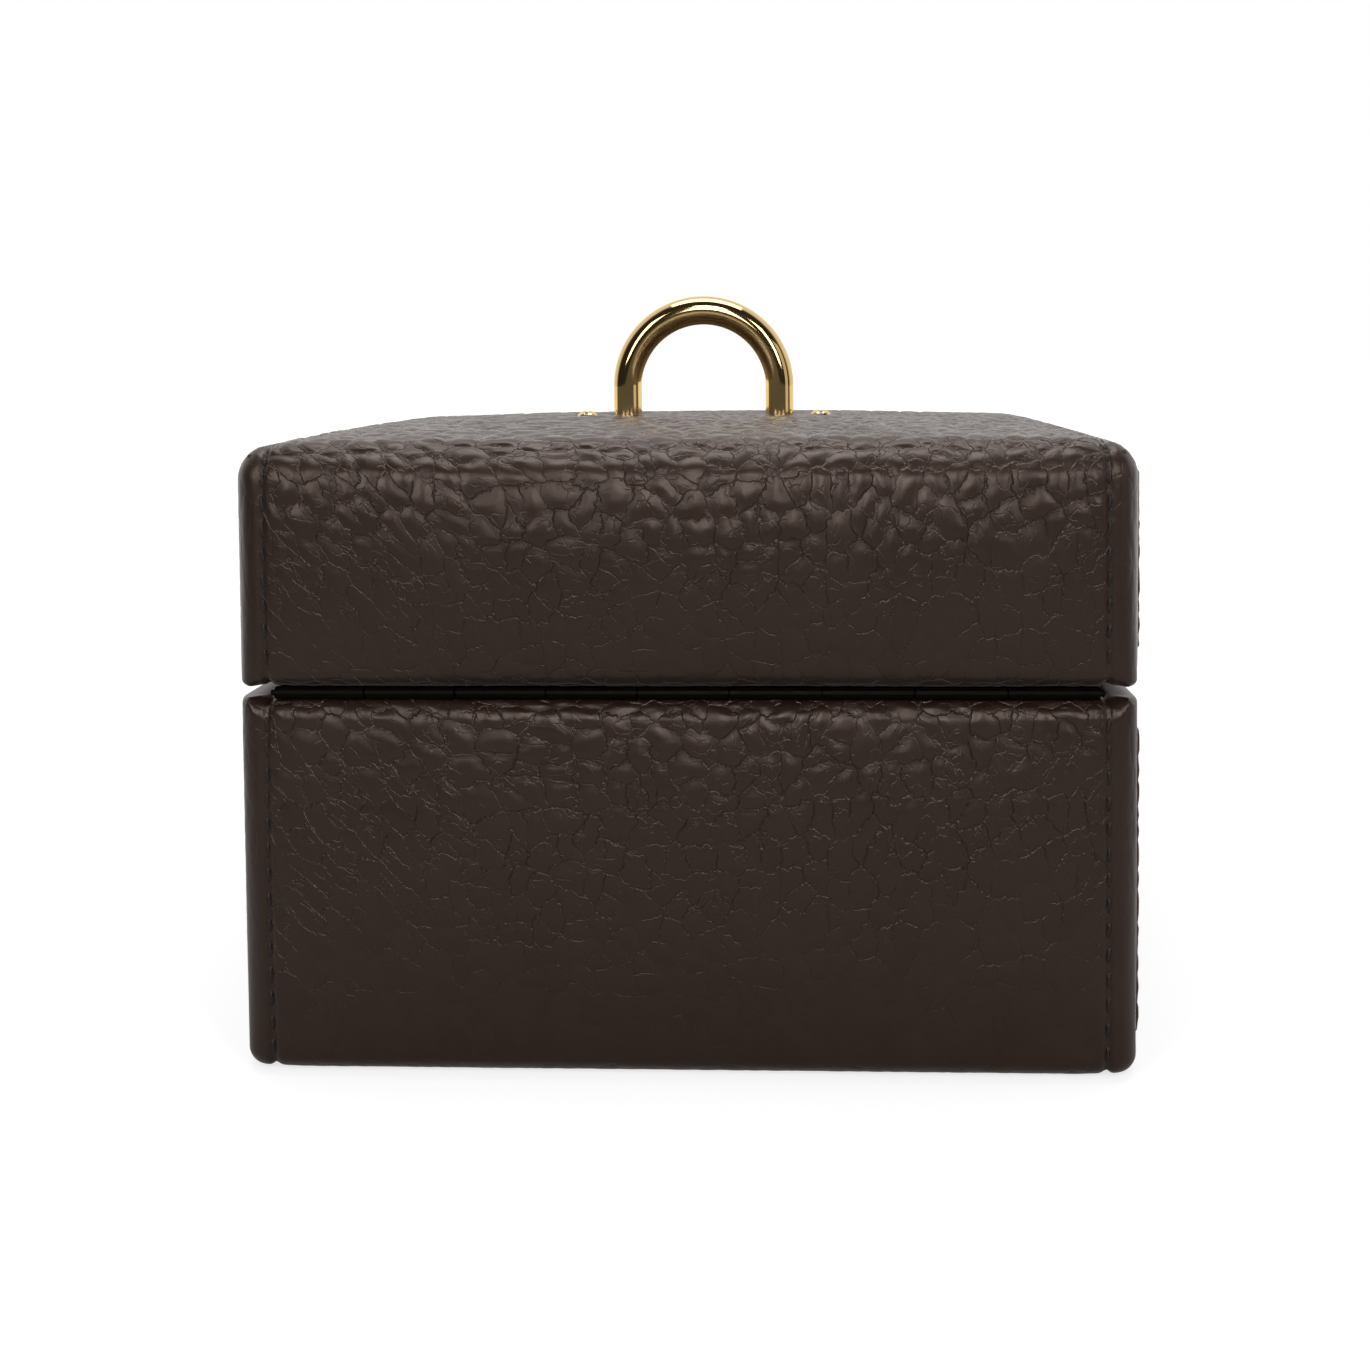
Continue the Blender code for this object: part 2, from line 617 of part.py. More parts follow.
def handle_path():
    """Centres and radii along the handle: stud, foot, leg, bend, leg, foot, stud."""
    foot = lid_surface(HANDLE_BEND_RADIUS, 0.0) - HANDLE_SUNK
    centre = LID_TOP + HANDLE_CENTRE_RISE
    left = -HANDLE_BEND_RADIUS
    rise = [(left, NUT_LOW, STUD_RADIUS), (left, foot, STUD_RADIUS), (left, foot, HANDLE_BAR_RADIUS)]
    bend = []
    for step in range(HANDLE_BEND_STEPS + 1):
        angle = math.pi * (1 - step / HANDLE_BEND_STEPS)
        x = HANDLE_BEND_RADIUS * math.cos(angle)
        bend.append((x, centre + HANDLE_BEND_RADIUS * math.sin(angle), HANDLE_BAR_RADIUS))
    fall = [(-x, z, radius) for x, z, radius in reversed(rise)]
    return rise + bend + fall


def handle_loop():
    """The round bar bent into a loop, with a threaded stud under each foot."""
    path = handle_path()
    centre = Vector((0.0, 0.0, LID_TOP + HANDLE_CENTRE_RISE))
    builder = bmesh.new()
    rings = []
    for x, z, radius in path:
        above = z > centre.z
        outward = (Vector((x, 0.0, z)) - centre).normalized() if above else Vector((math.copysign(1.0, x), 0.0, 0.0))
        ring = []
        for i in range(HANDLE_SIDES):
            angle = 2 * math.pi * i / HANDLE_SIDES
            offset = outward * math.cos(angle) * radius + Vector((0.0, math.sin(angle) * radius, 0.0))
            ring.append(builder.verts.new(Vector((x, 0.0, z)) - centre + offset))
        rings.append(ring)
    for one, other in zip(rings, rings[1:]):
        for i in range(HANDLE_SIDES):
            j = (i + 1) % HANDLE_SIDES
            builder.faces.new((one[i], one[j], other[j], other[i]))
    builder.faces.new(rings[0])
    builder.faces.new(rings[-1])
    loop = add_piece("handle_loop", builder, centre)
    loop.data.shade_smooth()
    loop.data.set_sharp_from_angle(angle=math.radians(40))
    return loop


def handle_plate():
    """The backing plate under the lid's top board."""
    half_length = PLATE_LENGTH / 2
    half_width = PLATE_WIDTH / 2
    plate = box("handle_plate", (-half_length, -half_width, PLATE_LOW), (half_length, half_width, PLATE_TOP))
    holes = ((HANDLE_BEND_RADIUS, STUD_RADIUS + HOLE_CLEARANCE), (SCREW_OFFSET, SCREW_SHANK_RADIUS + THREAD_CLEARANCE))
    for offset, radius in holes:
        for x in (-offset, offset):
            drill(plate, (x, 0.0, PLATE_LOW), (x, 0.0, PLATE_TOP), radius)
    return plate


def handle_nut(name, x):
    """A hexagon nut on a handle stud."""
    nut = rod(name, (x, 0.0, NUT_LOW), (x, 0.0, NUT_LOW + NUT), NUT_ACROSS_CORNERS / 2, 6)
    drill(nut, (x, 0.0, NUT_LOW), (x, 0.0, NUT_LOW + NUT), STUD_RADIUS + THREAD_CLEARANCE)
    return nut


def handle_screw(name, x):
    """A domed slotted screw through the lid into the backing plate."""
    seat = lid_surface(x, 0.0) - SCREW_SUNK
    tip = PLATE_LOW - SCREW_TIP_BELOW_PLATE - seat
    quarter = [math.pi / 2 * step / DOME_STEPS for step in range(DOME_STEPS + 1)]
    dome = [(SCREW_HEAD_RADIUS * math.sin(angle), SCREW_HEAD * math.cos(angle)) for angle in quarter]
    dome[0] = (0.0, SCREW_HEAD)
    profile = [*dome, (SCREW_SHANK_RADIUS, 0.0), (SCREW_SHANK_RADIUS, tip), (0.0, tip)]
    screw = turned(name, profile, (x, 0.0, seat))
    slot_low = (x - SLOT_WIDTH / 2, -SCREW_HEAD_RADIUS - CUT_OVERRUN, seat + SCREW_HEAD - SLOT_DEPTH)
    slot_high = (x + SLOT_WIDTH / 2, SCREW_HEAD_RADIUS + CUT_OVERRUN, seat + SCREW_HEAD + CUT_OVERRUN)
    cut(screw, box("slot", slot_low, slot_high))
    return screw


def build_handle(lid):
    """The loop handle and everything that fastens it."""
    screws = []
    nuts = []
    for word, side in (("left", -1), ("right", 1)):
        screws.append(handle_screw(f"handle_{word}_screw", side * SCREW_OFFSET))
        nuts.append(handle_nut(f"handle_{word}_nut", side * HANDLE_BEND_RADIUS))
    mount_on(lid, "gold", handle_loop(), *screws)
    mount_on(lid, "steel", handle_plate(), *nuts)


def drawer_box(name, low_x, high_x):
    """The drawer's own box."""
    low = (low_x, DRAWER_BACK_Y, DRAWER_LOW)
    high = (high_x, DRAWER_BOX_FRONT_Y, DRAWER_LOW + DRAWER_BOX_HEIGHT)
    return open_box(name, low, high, DRAWER_WALL, DRAWER_WALL)


def drawer_lining(name, low_x, high_x):
    """The suede tray inside a drawer, clear of the pull screw's head."""
    inset = DRAWER_WALL + GLUE_GAP
    low = (low_x + inset, DRAWER_BACK_Y + inset, DRAWER_LOW + inset)
    front = DRAWER_BOX_FRONT_Y - DRAWER_WALL - DRAWER_LINING_FRONT_SPACE
    high = (high_x - inset, front, DRAWER_LOW + DRAWER_BOX_HEIGHT - DRAWER_LINING_DROP)
    return open_box(name, low, high, LINING, LINING)


def drawer_front(name, low_x, high_x):
    """The padded leather front of a drawer."""
    low = (low_x, DRAWER_FRONT_BACK_Y, DRAWER_LOW)
    high = (high_x, WRAP_Y, DRAWER_FRONT_TOP)
    radii = (DRAWER_FRONT_RADIUS, DRAWER_FRONT_RADIUS, DRAWER_FRONT_RADIUS)
    return soft_box(name, low, high, radii, {(1, 1): PANEL_CROWN}, DRAWER_FRONT_CELLS)


def drawer_pull(name, x, z):
    """A turned knob: base, neck and ball, bored from behind for its screw."""
    seat = WRAP_Y + PANEL_CROWN + GLUE_GAP
    ball = PULL_BASE + PULL_NECK + math.sqrt(PULL_BALL_RADIUS**2 - PULL_NECK_RADIUS**2)
    start = math.asin(PULL_NECK_RADIUS / PULL_BALL_RADIUS)
    profile = [(0.0, 0.0), (PULL_BASE_RADIUS, 0.0), (PULL_BASE_RADIUS, PULL_BASE), (PULL_NECK_RADIUS, PULL_BASE)]
    steps = 2 * DOME_STEPS
    for step in range(steps):
        angle = start + (math.pi - start) * step / steps
        profile.append((PULL_BALL_RADIUS * math.sin(angle), ball - PULL_BALL_RADIUS * math.cos(angle)))
    profile.append((0.0, ball + PULL_BALL_RADIUS))
    pull = turned(name, profile, (x, seat, z), -math.pi / 2)
    bore_end = seat + PULL_SCREW_REACH + SEAT_CLEARANCE
    bore = rod("bore", (x, seat - CUT_OVERRUN, z), (x, bore_end, z), PULL_SCREW_RADIUS + THREAD_CLEARANCE)
    cut(pull, bore)
    return pull


def pull_screw(name, x, z):
    """The screw that holds drawer box, front and pull together."""
    under_head = DRAWER_BOX_FRONT_Y - DRAWER_WALL - GLUE_GAP
    tip = WRAP_Y + PANEL_CROWN + GLUE_GAP + PULL_SCREW_REACH - under_head
    profile = [
        (0.0, -PULL_SCREW_HEAD),
        (PULL_SCREW_HEAD_RADIUS, -PULL_SCREW_HEAD),
        (PULL_SCREW_HEAD_RADIUS, 0.0),
        (PULL_SCREW_RADIUS, 0.0),
        (PULL_SCREW_RADIUS, tip),
        (0.0, tip),
    ]
    return turned(name, profile, (x, under_head, z), -math.pi / 2)


def build_drawer(word, side):
    """One drawer, which slides out towards +Y."""
    slide = body_empty(f"{word}_drawer_slide", (side * INNER_X / 2, WRAP_Y, DRAWER_LOW))
    box_span = sorted((side * DRAWER_NEAR_X, side * DRAWER_FAR_X))
    front_span = sorted((side * DRAWER_RUN_GAP, side * (WINDOW_X - DRAWER_RUN_GAP)))
    x = sum(front_span) / 2
    z = (DRAWER_LOW + DRAWER_FRONT_TOP) / 2
    carcass = drawer_box(f"{word}_drawer_box", *box_span)
    front = drawer_front(f"{word}_drawer_front", *front_span)
    for piece in (carcass, front):
        start = (x, DRAWER_BOX_FRONT_Y - DRAWER_WALL, z)
        drill(piece, start, (x, WRAP_Y, z), PULL_SCREW_RADIUS + HOLE_CLEARANCE)
    lining = drawer_lining(f"{word}_drawer_lining", *box_span)
    mount_on(slide, "board", carcass)
    mount_on(slide, "leather", front)
    mount_on(slide, "suede", lining)
    mount_on(slide, "gold", drawer_pull(f"{word}_drawer_pull", x, z))
    mount_on(slide, "steel", pull_screw(f"{word}_pull_screw", x, z))


def build():
    """The whole box."""
    clear_scene()
    base = body_empty("base_frame", (0.0, 0.0, 0.0))
    lid = body_empty("lid_pivot", (0.0, AXIS_Y, SEAM_MIDDLE))
    build_base(base)
    build_lid(lid)
    build_handle(lid)
    build_hinge(base, lid)
    build_drawer("left", -1)
    build_drawer("right", 1)


build()
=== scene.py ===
"""Looks of the leather jewelry box: pebbled leather, stitches, polished fittings, suede, and the studio around it.

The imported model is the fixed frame, and every piece takes its place from the frame's nodes. Sizes are in metres.
"""

import json
import math

import bmesh
import bpy
import numpy as np
from mathutils import Matrix, Vector


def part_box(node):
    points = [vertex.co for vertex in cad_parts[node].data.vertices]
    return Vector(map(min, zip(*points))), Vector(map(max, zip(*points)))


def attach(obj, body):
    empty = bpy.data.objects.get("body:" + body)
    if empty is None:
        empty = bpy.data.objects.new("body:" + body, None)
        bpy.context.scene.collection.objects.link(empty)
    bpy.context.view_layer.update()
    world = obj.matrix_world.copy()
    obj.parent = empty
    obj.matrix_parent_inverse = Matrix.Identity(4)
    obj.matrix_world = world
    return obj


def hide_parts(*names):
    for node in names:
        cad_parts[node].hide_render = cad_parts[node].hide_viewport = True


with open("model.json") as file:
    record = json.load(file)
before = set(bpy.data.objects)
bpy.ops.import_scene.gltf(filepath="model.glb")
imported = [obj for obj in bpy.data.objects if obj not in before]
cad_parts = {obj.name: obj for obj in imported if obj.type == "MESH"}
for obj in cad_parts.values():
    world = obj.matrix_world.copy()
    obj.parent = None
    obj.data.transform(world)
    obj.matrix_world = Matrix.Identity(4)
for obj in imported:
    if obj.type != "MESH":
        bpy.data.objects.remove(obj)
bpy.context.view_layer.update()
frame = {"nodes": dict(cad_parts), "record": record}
NODES = frame["nodes"]
MM = 0.001

# Leather bodies: how they are rounded, crowned and sewn
CORNER_RADIUS = 4.2 * MM
TOP_RADIUS = 5.0 * MM
FOOT_RADIUS = 2.6 * MM
SEAM_RADIUS = 1.0 * MM
HINGE_RADIUS = 2.8 * MM
HINGE_RADIUS_FADE = (0.5 * MM, 3.5 * MM)
PANEL_CROWN = 0.8 * MM
TOP_CROWN = 1.9 * MM
SHOULDER_CROWN = 1.5 * MM
PANEL_CROWN_POWER = 4.0
SHOWN_CROWN_POWERS = (5.0, 2.3)
TOP_CROWN_POWER = 2.6
PANEL_SEAM = 0.15 * MM
RIM_WIDTH = 4.3 * MM
BOTTOM_BORDER = 6.0 * MM
SKIN = 1.1 * MM
COARSE_SHARE = 0.6
GRID_GAP = 0.62 * MM
STITCH_GRID_GAP = 0.3 * MM
LEAST_GAP = 0.05 * MM
EDGE_STEPS = 8
SEAM_STEPS = 4
WAVE_HEIGHT = 0.08 * MM

# Stitching
STITCH_INSET = 4.6 * MM
STITCH_PITCH = 3.5 * MM
STITCH_LENGTH = 2.7 * MM
THREAD_RADIUS = 0.28 * MM
THREAD_ARCH = 0.08 * MM
STITCH_SLANT = math.radians(7)
GROOVE_DEPTH = 0.55 * MM
GROOVE_HALF_WIDTH = 0.55 * MM
GROOVE_BAND = 2.2 * MM
PUCKER = 0.35
STITCH_MARGIN = 1.6 * MM

# Side panels and drawer fronts
SIDE_PANEL_RADIUS = 0.85 * MM
FRONT_RADIUS = 1.4 * MM
PANEL_EDGE_STEPS = 4
PANEL_GAP = 0.7 * MM

# Leather grain, in millimetres of the unrolled hide
CELL = 3.5
SMALL_CELL = 1.7
DRIFT_SIZE = 9.0
DRIFT = 4.5
JITTER_SIZE = 1.7
JITTER = 2.0
PILLOW_WIDTH = 0.36
CREASE_WIDTH = 0.055
PILLOW_HEIGHT = 0.22
CREASE_DEPTH = 0.15
SMALL_CREASE_DEPTH = 0.05
PORE_HEIGHT = 0.012
GRAIN_TURN = 30.0 * MM
PLAIN_RELIEF = 0.6

# What the grain's strength gains on the lid's top and loses on the base's rim
TOP_RELIEF = 0.45
RIM_RELIEF = -1.0

# Leather colours, how far the pebbles differ from each other, and the painted shade in the creases
LEATHER_DARK = (0.0128, 0.0056, 0.0033, 1.0)
LEATHER_LIGHT = (0.0170, 0.0078, 0.0049, 1.0)
PEBBLE_LIGHT = (0.0225, 0.0112, 0.0072, 1.0)
# Painted shade: the colour the creases darken toward, standing in for shade that falls in them
CREASE_SHADE_COLOUR = (0.0050, 0.0032, 0.0025, 1.0)
PEBBLE_SHADES = 0.3

# Polished fittings
HANDLE_BAR_RADIUS = 2.4 * MM
HANDLE_BEND_STEPS = 96
HANDLE_SIDES = 48
ROUND_STEPS = 64
FOOT_HOLE_SHARE = 0.75
SCREW_DOME = 1.2 * MM
SCREW_RIM = 0.25 * MM
SCREW_SHANK_RADIUS = 0.9 * MM
SLOT_WIDTH = 0.55 * MM
SLOT_HEIGHT = 1.3 * MM
DOME_STEPS = 16

# Suede rolls, foam and eased edges
RING_ROLLS = 4
ROLL_SIDES = 72
ROLL_RINGS = 40
ROLL_END_POWER = 3.2
ROLL_SECTION_POWER = 2.5
ROLL_GATHERS = 15
ROLL_GATHER_DEPTH = 0.14
WELD_REACH = 0.001 * MM
EASED_EDGE = 0.25 * MM
FOAM_EDGE = 0.6 * MM

# Studio
FLOOR_SIZE = 40.0
FLOOR_LIFT = 0.72
FLOOR_NEAR = 0.12
FLOOR_FAR = 0.45
WORLD_LIGHT = 0.25
FRONT_GLOSS = 0.03

# Camera, fitted to the photograph's outline
CAMERA_PLACE = (15.97 * MM, -262.0 * MM, 99.5 * MM)
CAMERA_YAW = math.radians(2.23)
CAMERA_PITCH = math.radians(2.435)
CAMERA_ROLL = math.radians(-0.42)
CAMERA_LENS = 40.69
CAMERA_SHIFT = (-0.0386, -0.1898)


def node(tree, kind, inputs=None, **settings):
    """Add a node, set its properties, and feed its inputs with values or sockets."""
    made = tree.nodes.new(kind)
    for key, value in settings.items():
        setattr(made, key, value)
    for key, value in (inputs or {}).items():
        if isinstance(value, bpy.types.NodeSocket):
            tree.links.new(value, made.inputs[key])
        else:
            made.inputs[key].default_value = value
    return made


def calc(tree, operation, *values):
    """One step of arithmetic on sockets and numbers."""
    return node(tree, "ShaderNodeMath", dict(enumerate(values)), operation=operation).outputs[0]


def vector_calc(tree, operation, *values):
    """One step of arithmetic on vectors."""
    return node(tree, "ShaderNodeVectorMath", dict(enumerate(values)), operation=operation).outputs[0]


def scaled(tree, vector, factors):
    """A vector multiplied by three factors."""
    return vector_calc(tree, "MULTIPLY", vector, factors)


def noise(tree, vector, size, detail=2.0, roughness=0.5):
    """Smooth noise from 0 to 1 with features of a size, in the vector's own units."""
    inputs = {"Vector": vector, "Scale": 1.0 / size, "Detail": detail, "Roughness": roughness}
    return node(tree, "ShaderNodeTexNoise", inputs)


def ramp(tree, value, low, high, to_low=0.0, to_high=1.0):
    """A smooth step of a value from one range to another."""
    inputs = {"Value": value, "From Min": low, "From Max": high, "To Min": to_low, "To Max": to_high}
    return node(tree, "ShaderNodeMapRange", inputs, interpolation_type="SMOOTHSTEP").outputs[0]


def mixed(tree, factor, first, second):
    """A blend of two colours."""
    inputs = {"Factor": factor, "A": first, "B": second}
    made = tree.nodes.new("ShaderNodeMix")
    made.data_type = "RGBA"
    sockets = {"Factor": made.inputs[0], "A": made.inputs[6], "B": made.inputs[7]}
    for key, value in inputs.items():
        if isinstance(value, bpy.types.NodeSocket):
            tree.links.new(value, sockets[key])
        else:
            sockets[key].default_value = value
    return made.outputs[2]


def new_material(name):
    """An empty Principled material."""
    material = bpy.data.materials.new(name)
    material.use_nodes = True
    return material, material.node_tree, material.node_tree.nodes["Principled BSDF"]


def feed(tree, shader, **inputs):
    """Set or link the shader's inputs, named with underscores for spaces."""
    for key, value in inputs.items():
        socket = shader.inputs[key.replace("_", " ")]
        if isinstance(value, bpy.types.NodeSocket):
            tree.links.new(value, socket)
        else:
            socket.default_value = value


def bent_place(tree, place):
    """The grain's place, wandering so that no crease runs straight."""
    drift = noise(tree, place, DRIFT_SIZE).outputs["Color"]
    bent = vector_calc(tree, "MULTIPLY_ADD", drift, (DRIFT, DRIFT, 0.0), place)
    jitter = noise(tree, place, JITTER_SIZE, detail=3.0).outputs["Color"]
    return vector_calc(tree, "MULTIPLY_ADD", jitter, (JITTER, JITTER, 0.0), bent)


def voronoi(tree, place, size, feature):
    """Cells of a size over the hide."""
    inputs = {"Vector": place, "Scale": 1.0 / size, "Randomness": 0.95}
    return node(tree, "ShaderNodeTexVoronoi", inputs, voronoi_dimensions="2D", feature=feature)


def pillows(tree, place):
    """Height of the pebbles, each a small pillow, in millimetres."""
    edges = voronoi(tree, bent_place(tree, place), CELL, "DISTANCE_TO_EDGE")
    return calc(tree, "MULTIPLY", ramp(tree, edges.outputs["Distance"], 0.0, PILLOW_WIDTH), PILLOW_HEIGHT)


def leather_material(name, own_grain):
    """Dark brown pebbled leather, with fine creases between and across the pebbles, darkened with painted shade."""
    material, tree, shader = new_material(name)
    if own_grain:
        place = node(tree, "ShaderNodeAttribute", attribute_name="grain").outputs["Vector"]
        relief = node(tree, "ShaderNodeAttribute", attribute_name="relief").outputs["Fac"]
    else:
        place = object_place(tree)
        relief = PLAIN_RELIEF
    bent = bent_place(tree, place)
    edges = voronoi(tree, bent, CELL, "DISTANCE_TO_EDGE").outputs["Distance"]
    shade = voronoi(tree, bent, CELL, "F1").outputs["Color"]
    small = voronoi(tree, bent, SMALL_CELL, "DISTANCE_TO_EDGE").outputs["Distance"]
    fade = ramp(tree, noise(tree, place, 5.0).outputs["Fac"], 0.36, 0.62, 0.25, 1.0)
    crease = calc(tree, "SUBTRACT", 1.0, ramp(tree, edges, 0.0, CREASE_WIDTH))
    crease = calc(tree, "MULTIPLY", crease, fade)
    small_fade = ramp(tree, noise(tree, place, 3.4, detail=1.0).outputs["Fac"], 0.45, 0.65)
    wrinkle = calc(tree, "SUBTRACT", 1.0, ramp(tree, small, 0.0, 0.09))
    wrinkle = calc(tree, "MULTIPLY", wrinkle, small_fade)
    height = calc(tree, "MULTIPLY", crease, -CREASE_DEPTH)
    height = calc(tree, "MULTIPLY_ADD", wrinkle, -SMALL_CREASE_DEPTH, height)
    height = calc(tree, "MULTIPLY", height, relief)
    pores = noise(tree, place, 0.4, detail=3.0, roughness=0.6).outputs["Fac"]
    height = calc(tree, "MULTIPLY_ADD", pores, PORE_HEIGHT, height)
    bump = node(tree, "ShaderNodeBump", {"Height": height, "Distance": MM, "Strength": 1.0})
    blotch = noise(tree, place, 14.0, detail=3.0).outputs["Fac"]
    body = mixed(tree, blotch, LEATHER_DARK, LEATHER_LIGHT)
    body = mixed(tree, calc(tree, "MULTIPLY", shade_value(tree, shade), PEBBLE_SHADES), body, PEBBLE_LIGHT)
    # Painted shade: the creases and small wrinkles darken toward a near-black brown, more where the grain is strong
    painted_crease_shade = calc(tree, "MAXIMUM", crease, calc(tree, "MULTIPLY", wrinkle, 0.5))
    painted_crease_shade = calc(tree, "MULTIPLY", painted_crease_shade, calc(tree, "MULTIPLY", relief, 0.35))
    colour = mixed(tree, painted_crease_shade, body, CREASE_SHADE_COLOUR)
    rough = ramp(tree, blotch, 0.3, 0.7, 0.31, 0.38)
    feed(tree, shader, Base_Color=colour, Roughness=rough, Normal=bump.outputs[0], Specular_IOR_Level=0.6)
    feed(tree, shader, Specular_Tint=(1.0, 0.8, 0.7, 1.0))
    feed(tree, shader, Sheen_Weight=0.4, Sheen_Roughness=0.3, Sheen_Tint=(1.0, 0.86, 0.82, 1.0))
    return material


def shade_value(tree, colour):
    """One random number from a cell's random colour."""
    return node(tree, "ShaderNodeSeparateColor", {"Color": colour}).outputs[0]


def object_place(tree):
    """Object coordinates in millimetres."""
    coordinates = node(tree, "ShaderNodeTexCoord").outputs["Object"]
    return scaled(tree, coordinates, (1 / MM, 1 / MM, 1 / MM))


def thread_material():
    """Waxed dark thread with a twist."""
    material, tree, shader = new_material("thread")
    place = object_place(tree)
    twist = node(tree, "ShaderNodeTexWave", {"Vector": place, "Scale": 1.6, "Distortion": 1.5}).outputs["Fac"]
    bump = node(tree, "ShaderNodeBump", {"Height": twist, "Distance": 0.06 * MM, "Strength": 0.8})
    colour = mixed(tree, twist, (0.008, 0.005, 0.004, 1.0), (0.022, 0.014, 0.011, 1.0))
    feed(tree, shader, Base_Color=colour, Roughness=0.5, Normal=bump.outputs[0])
    return material


def metal_material(name, dark, light, roughness, wear_size, brushed=0.0):
    """Metal whose tone and polish vary a little over its surface."""
    material, tree, shader = new_material(name)
    place = object_place(tree)
    cloud = noise(tree, place, wear_size, detail=4.0).outputs["Fac"]
    scratches = noise(tree, scaled(tree, place, (6.0, 0.6, 0.6)), 0.8, detail=3.0).outputs["Fac"]
    colour = mixed(tree, cloud, (*dark, 1.0), (*light, 1.0))
    rough = ramp(tree, cloud, 0.35, 0.7, roughness * 0.8, roughness * 1.35)
    bump = node(tree, "ShaderNodeBump", {"Height": scratches, "Distance": brushed * MM, "Strength": 0.5})
    feed(tree, shader, Base_Color=colour, Roughness=rough, Metallic=1.0, Normal=bump.outputs[0])
    return material


def suede_material():
    """Taupe microfibre with a short brushed nap."""
    material, tree, shader = new_material("suede")
    place = object_place(tree)
    brush = noise(tree, place, 9.0, detail=4.0, roughness=0.65).outputs["Fac"]
    nap = noise(tree, place, 0.22, detail=3.0, roughness=0.7).outputs["Fac"]
    colour = mixed(tree, ramp(tree, brush, 0.3, 0.7), (0.165, 0.115, 0.085, 1.0), (0.255, 0.185, 0.14, 1.0))
    bump = node(tree, "ShaderNodeBump", {"Height": nap, "Distance": 0.12 * MM, "Strength": 0.9})
    feed(tree, shader, Base_Color=colour, Roughness=0.95, Normal=bump.outputs[0], Specular_IOR_Level=0.2)
    feed(tree, shader, Sheen_Weight=0.35, Sheen_Roughness=0.45)
    return material


def board_material():
    """Fibreboard covered with dark paper."""
    material, tree, shader = new_material("board")
    place = object_place(tree)
    fibres = noise(tree, scaled(tree, place, (0.35, 2.5, 0.35)), 0.8, detail=5.0, roughness=0.6).outputs["Fac"]
    colour = mixed(tree, fibres, (0.030, 0.021, 0.016, 1.0), (0.062, 0.045, 0.034, 1.0))
    bump = node(tree, "ShaderNodeBump", {"Height": fibres, "Distance": 0.05 * MM, "Strength": 0.6})
    feed(tree, shader, Base_Color=colour, Roughness=0.82, Normal=bump.outputs[0])
    return material


def foam_material():
    """Open cream foam."""
    material, tree, shader = new_material("foam")
    place = object_place(tree)
    pores = node(tree, "ShaderNodeTexVoronoi", {"Vector": place, "Scale": 1.4}).outputs["Distance"]
    colour = mixed(tree, pores, (0.62, 0.58, 0.50, 1.0), (0.42, 0.38, 0.32, 1.0))
    bump = node(tree, "ShaderNodeBump", {"Height": pores, "Distance": 0.3 * MM, "Strength": 0.7})
    feed(tree, shader, Base_Color=colour, Roughness=0.95, Normal=bump.outputs[0])
    return material


LEATHER = leather_material("leather", True)
PLAIN_LEATHER = leather_material("plain_leather", False)
THREAD = thread_material()
GOLD = metal_material("gold", (0.62, 0.42, 0.16), (0.80, 0.58, 0.27), 0.07, 6.0)
# Painted shade: this bronze is nearly black, far darker than the metal, so the hinge in the seam's gap shows as the
# gap's dark band
SHADE_DARK_BRONZE = metal_material("bronze", (0.004, 0.0035, 0.003), (0.010, 0.008, 0.006), 0.42, 3.0, 0.02)
STEEL = metal_material("steel", (0.48, 0.48, 0.49), (0.66, 0.66, 0.67), 0.26, 4.0, 0.02)
SUEDE = suede_material()
BOARD = board_material()
FOAM = foam_material()


def make_piece(name, vertices, faces, material, attributes=None):
    """A smooth mesh object from arrays, with point attributes."""
    mesh = bpy.data.meshes.new(name)
    mesh.from_pydata(vertices.tolist(), [], [tuple(face) for face in faces])
    for key, values in (attributes or {}).items():
        kind = "FLOAT_VECTOR" if values.ndim == 2 else "FLOAT"
        field = "vector" if values.ndim == 2 else "value"
        attribute = mesh.attributes.new(key, kind, "POINT")
        attribute.data.foreach_set(field, values.astype(np.float32).ravel())
    mesh.materials.append(material)
    mesh.shade_smooth()
    piece = bpy.data.objects.new(name, mesh)
    bpy.context.scene.collection.objects.link(piece)
    return piece


def place_piece(piece, body, slot, *nodes):
    """Let a piece ride on a body and stand for CAD nodes, which it hides. The slot is not used."""
    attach(piece, body)
    if nodes:
        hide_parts(*nodes)


def edge_band(half, radius, steps):
    """Stations over a rounded edge that fall at equal turns of the surface."""
    return [half - radius + radius * math.tan(math.pi / 4 * i / steps) for i in range(steps + 1)]


def axis_places(half, bands, marks, gap_at):
    """Stations along one axis of a soft box: fine over its rounded edges, and through every mark."""
    low_bands, high_bands = bands
    low_edge = sorted({-p for radius, steps in low_bands for p in edge_band(half, radius, steps)})
    high_edge = sorted({p for radius, steps in high_bands for p in edge_band(half, radius, steps)})
    stops = sorted({low_edge[-1], high_edge[0], *(m for m in marks if low_edge[-1] < m < high_edge[0])})
    places = []
    for low, high in zip(stops, stops[1:]):
        count = max(1, math.ceil((high - low) / gap_at((low + high) / 2)))
        places.extend(low + (high - low) * (i + 1) / count for i in range(count))
    return thinned(np.array([*low_edge, *places[:-1], *high_edge]))


def thinned(places):
    """Stations without those that nearly coincide, with both ends kept."""
    kept = [places[0]]
    for place in places[1:-1]:
        if place - kept[-1] > LEAST_GAP and places[-1] - place > LEAST_GAP:
            kept.append(place)
    return np.array([*kept, places[-1]])


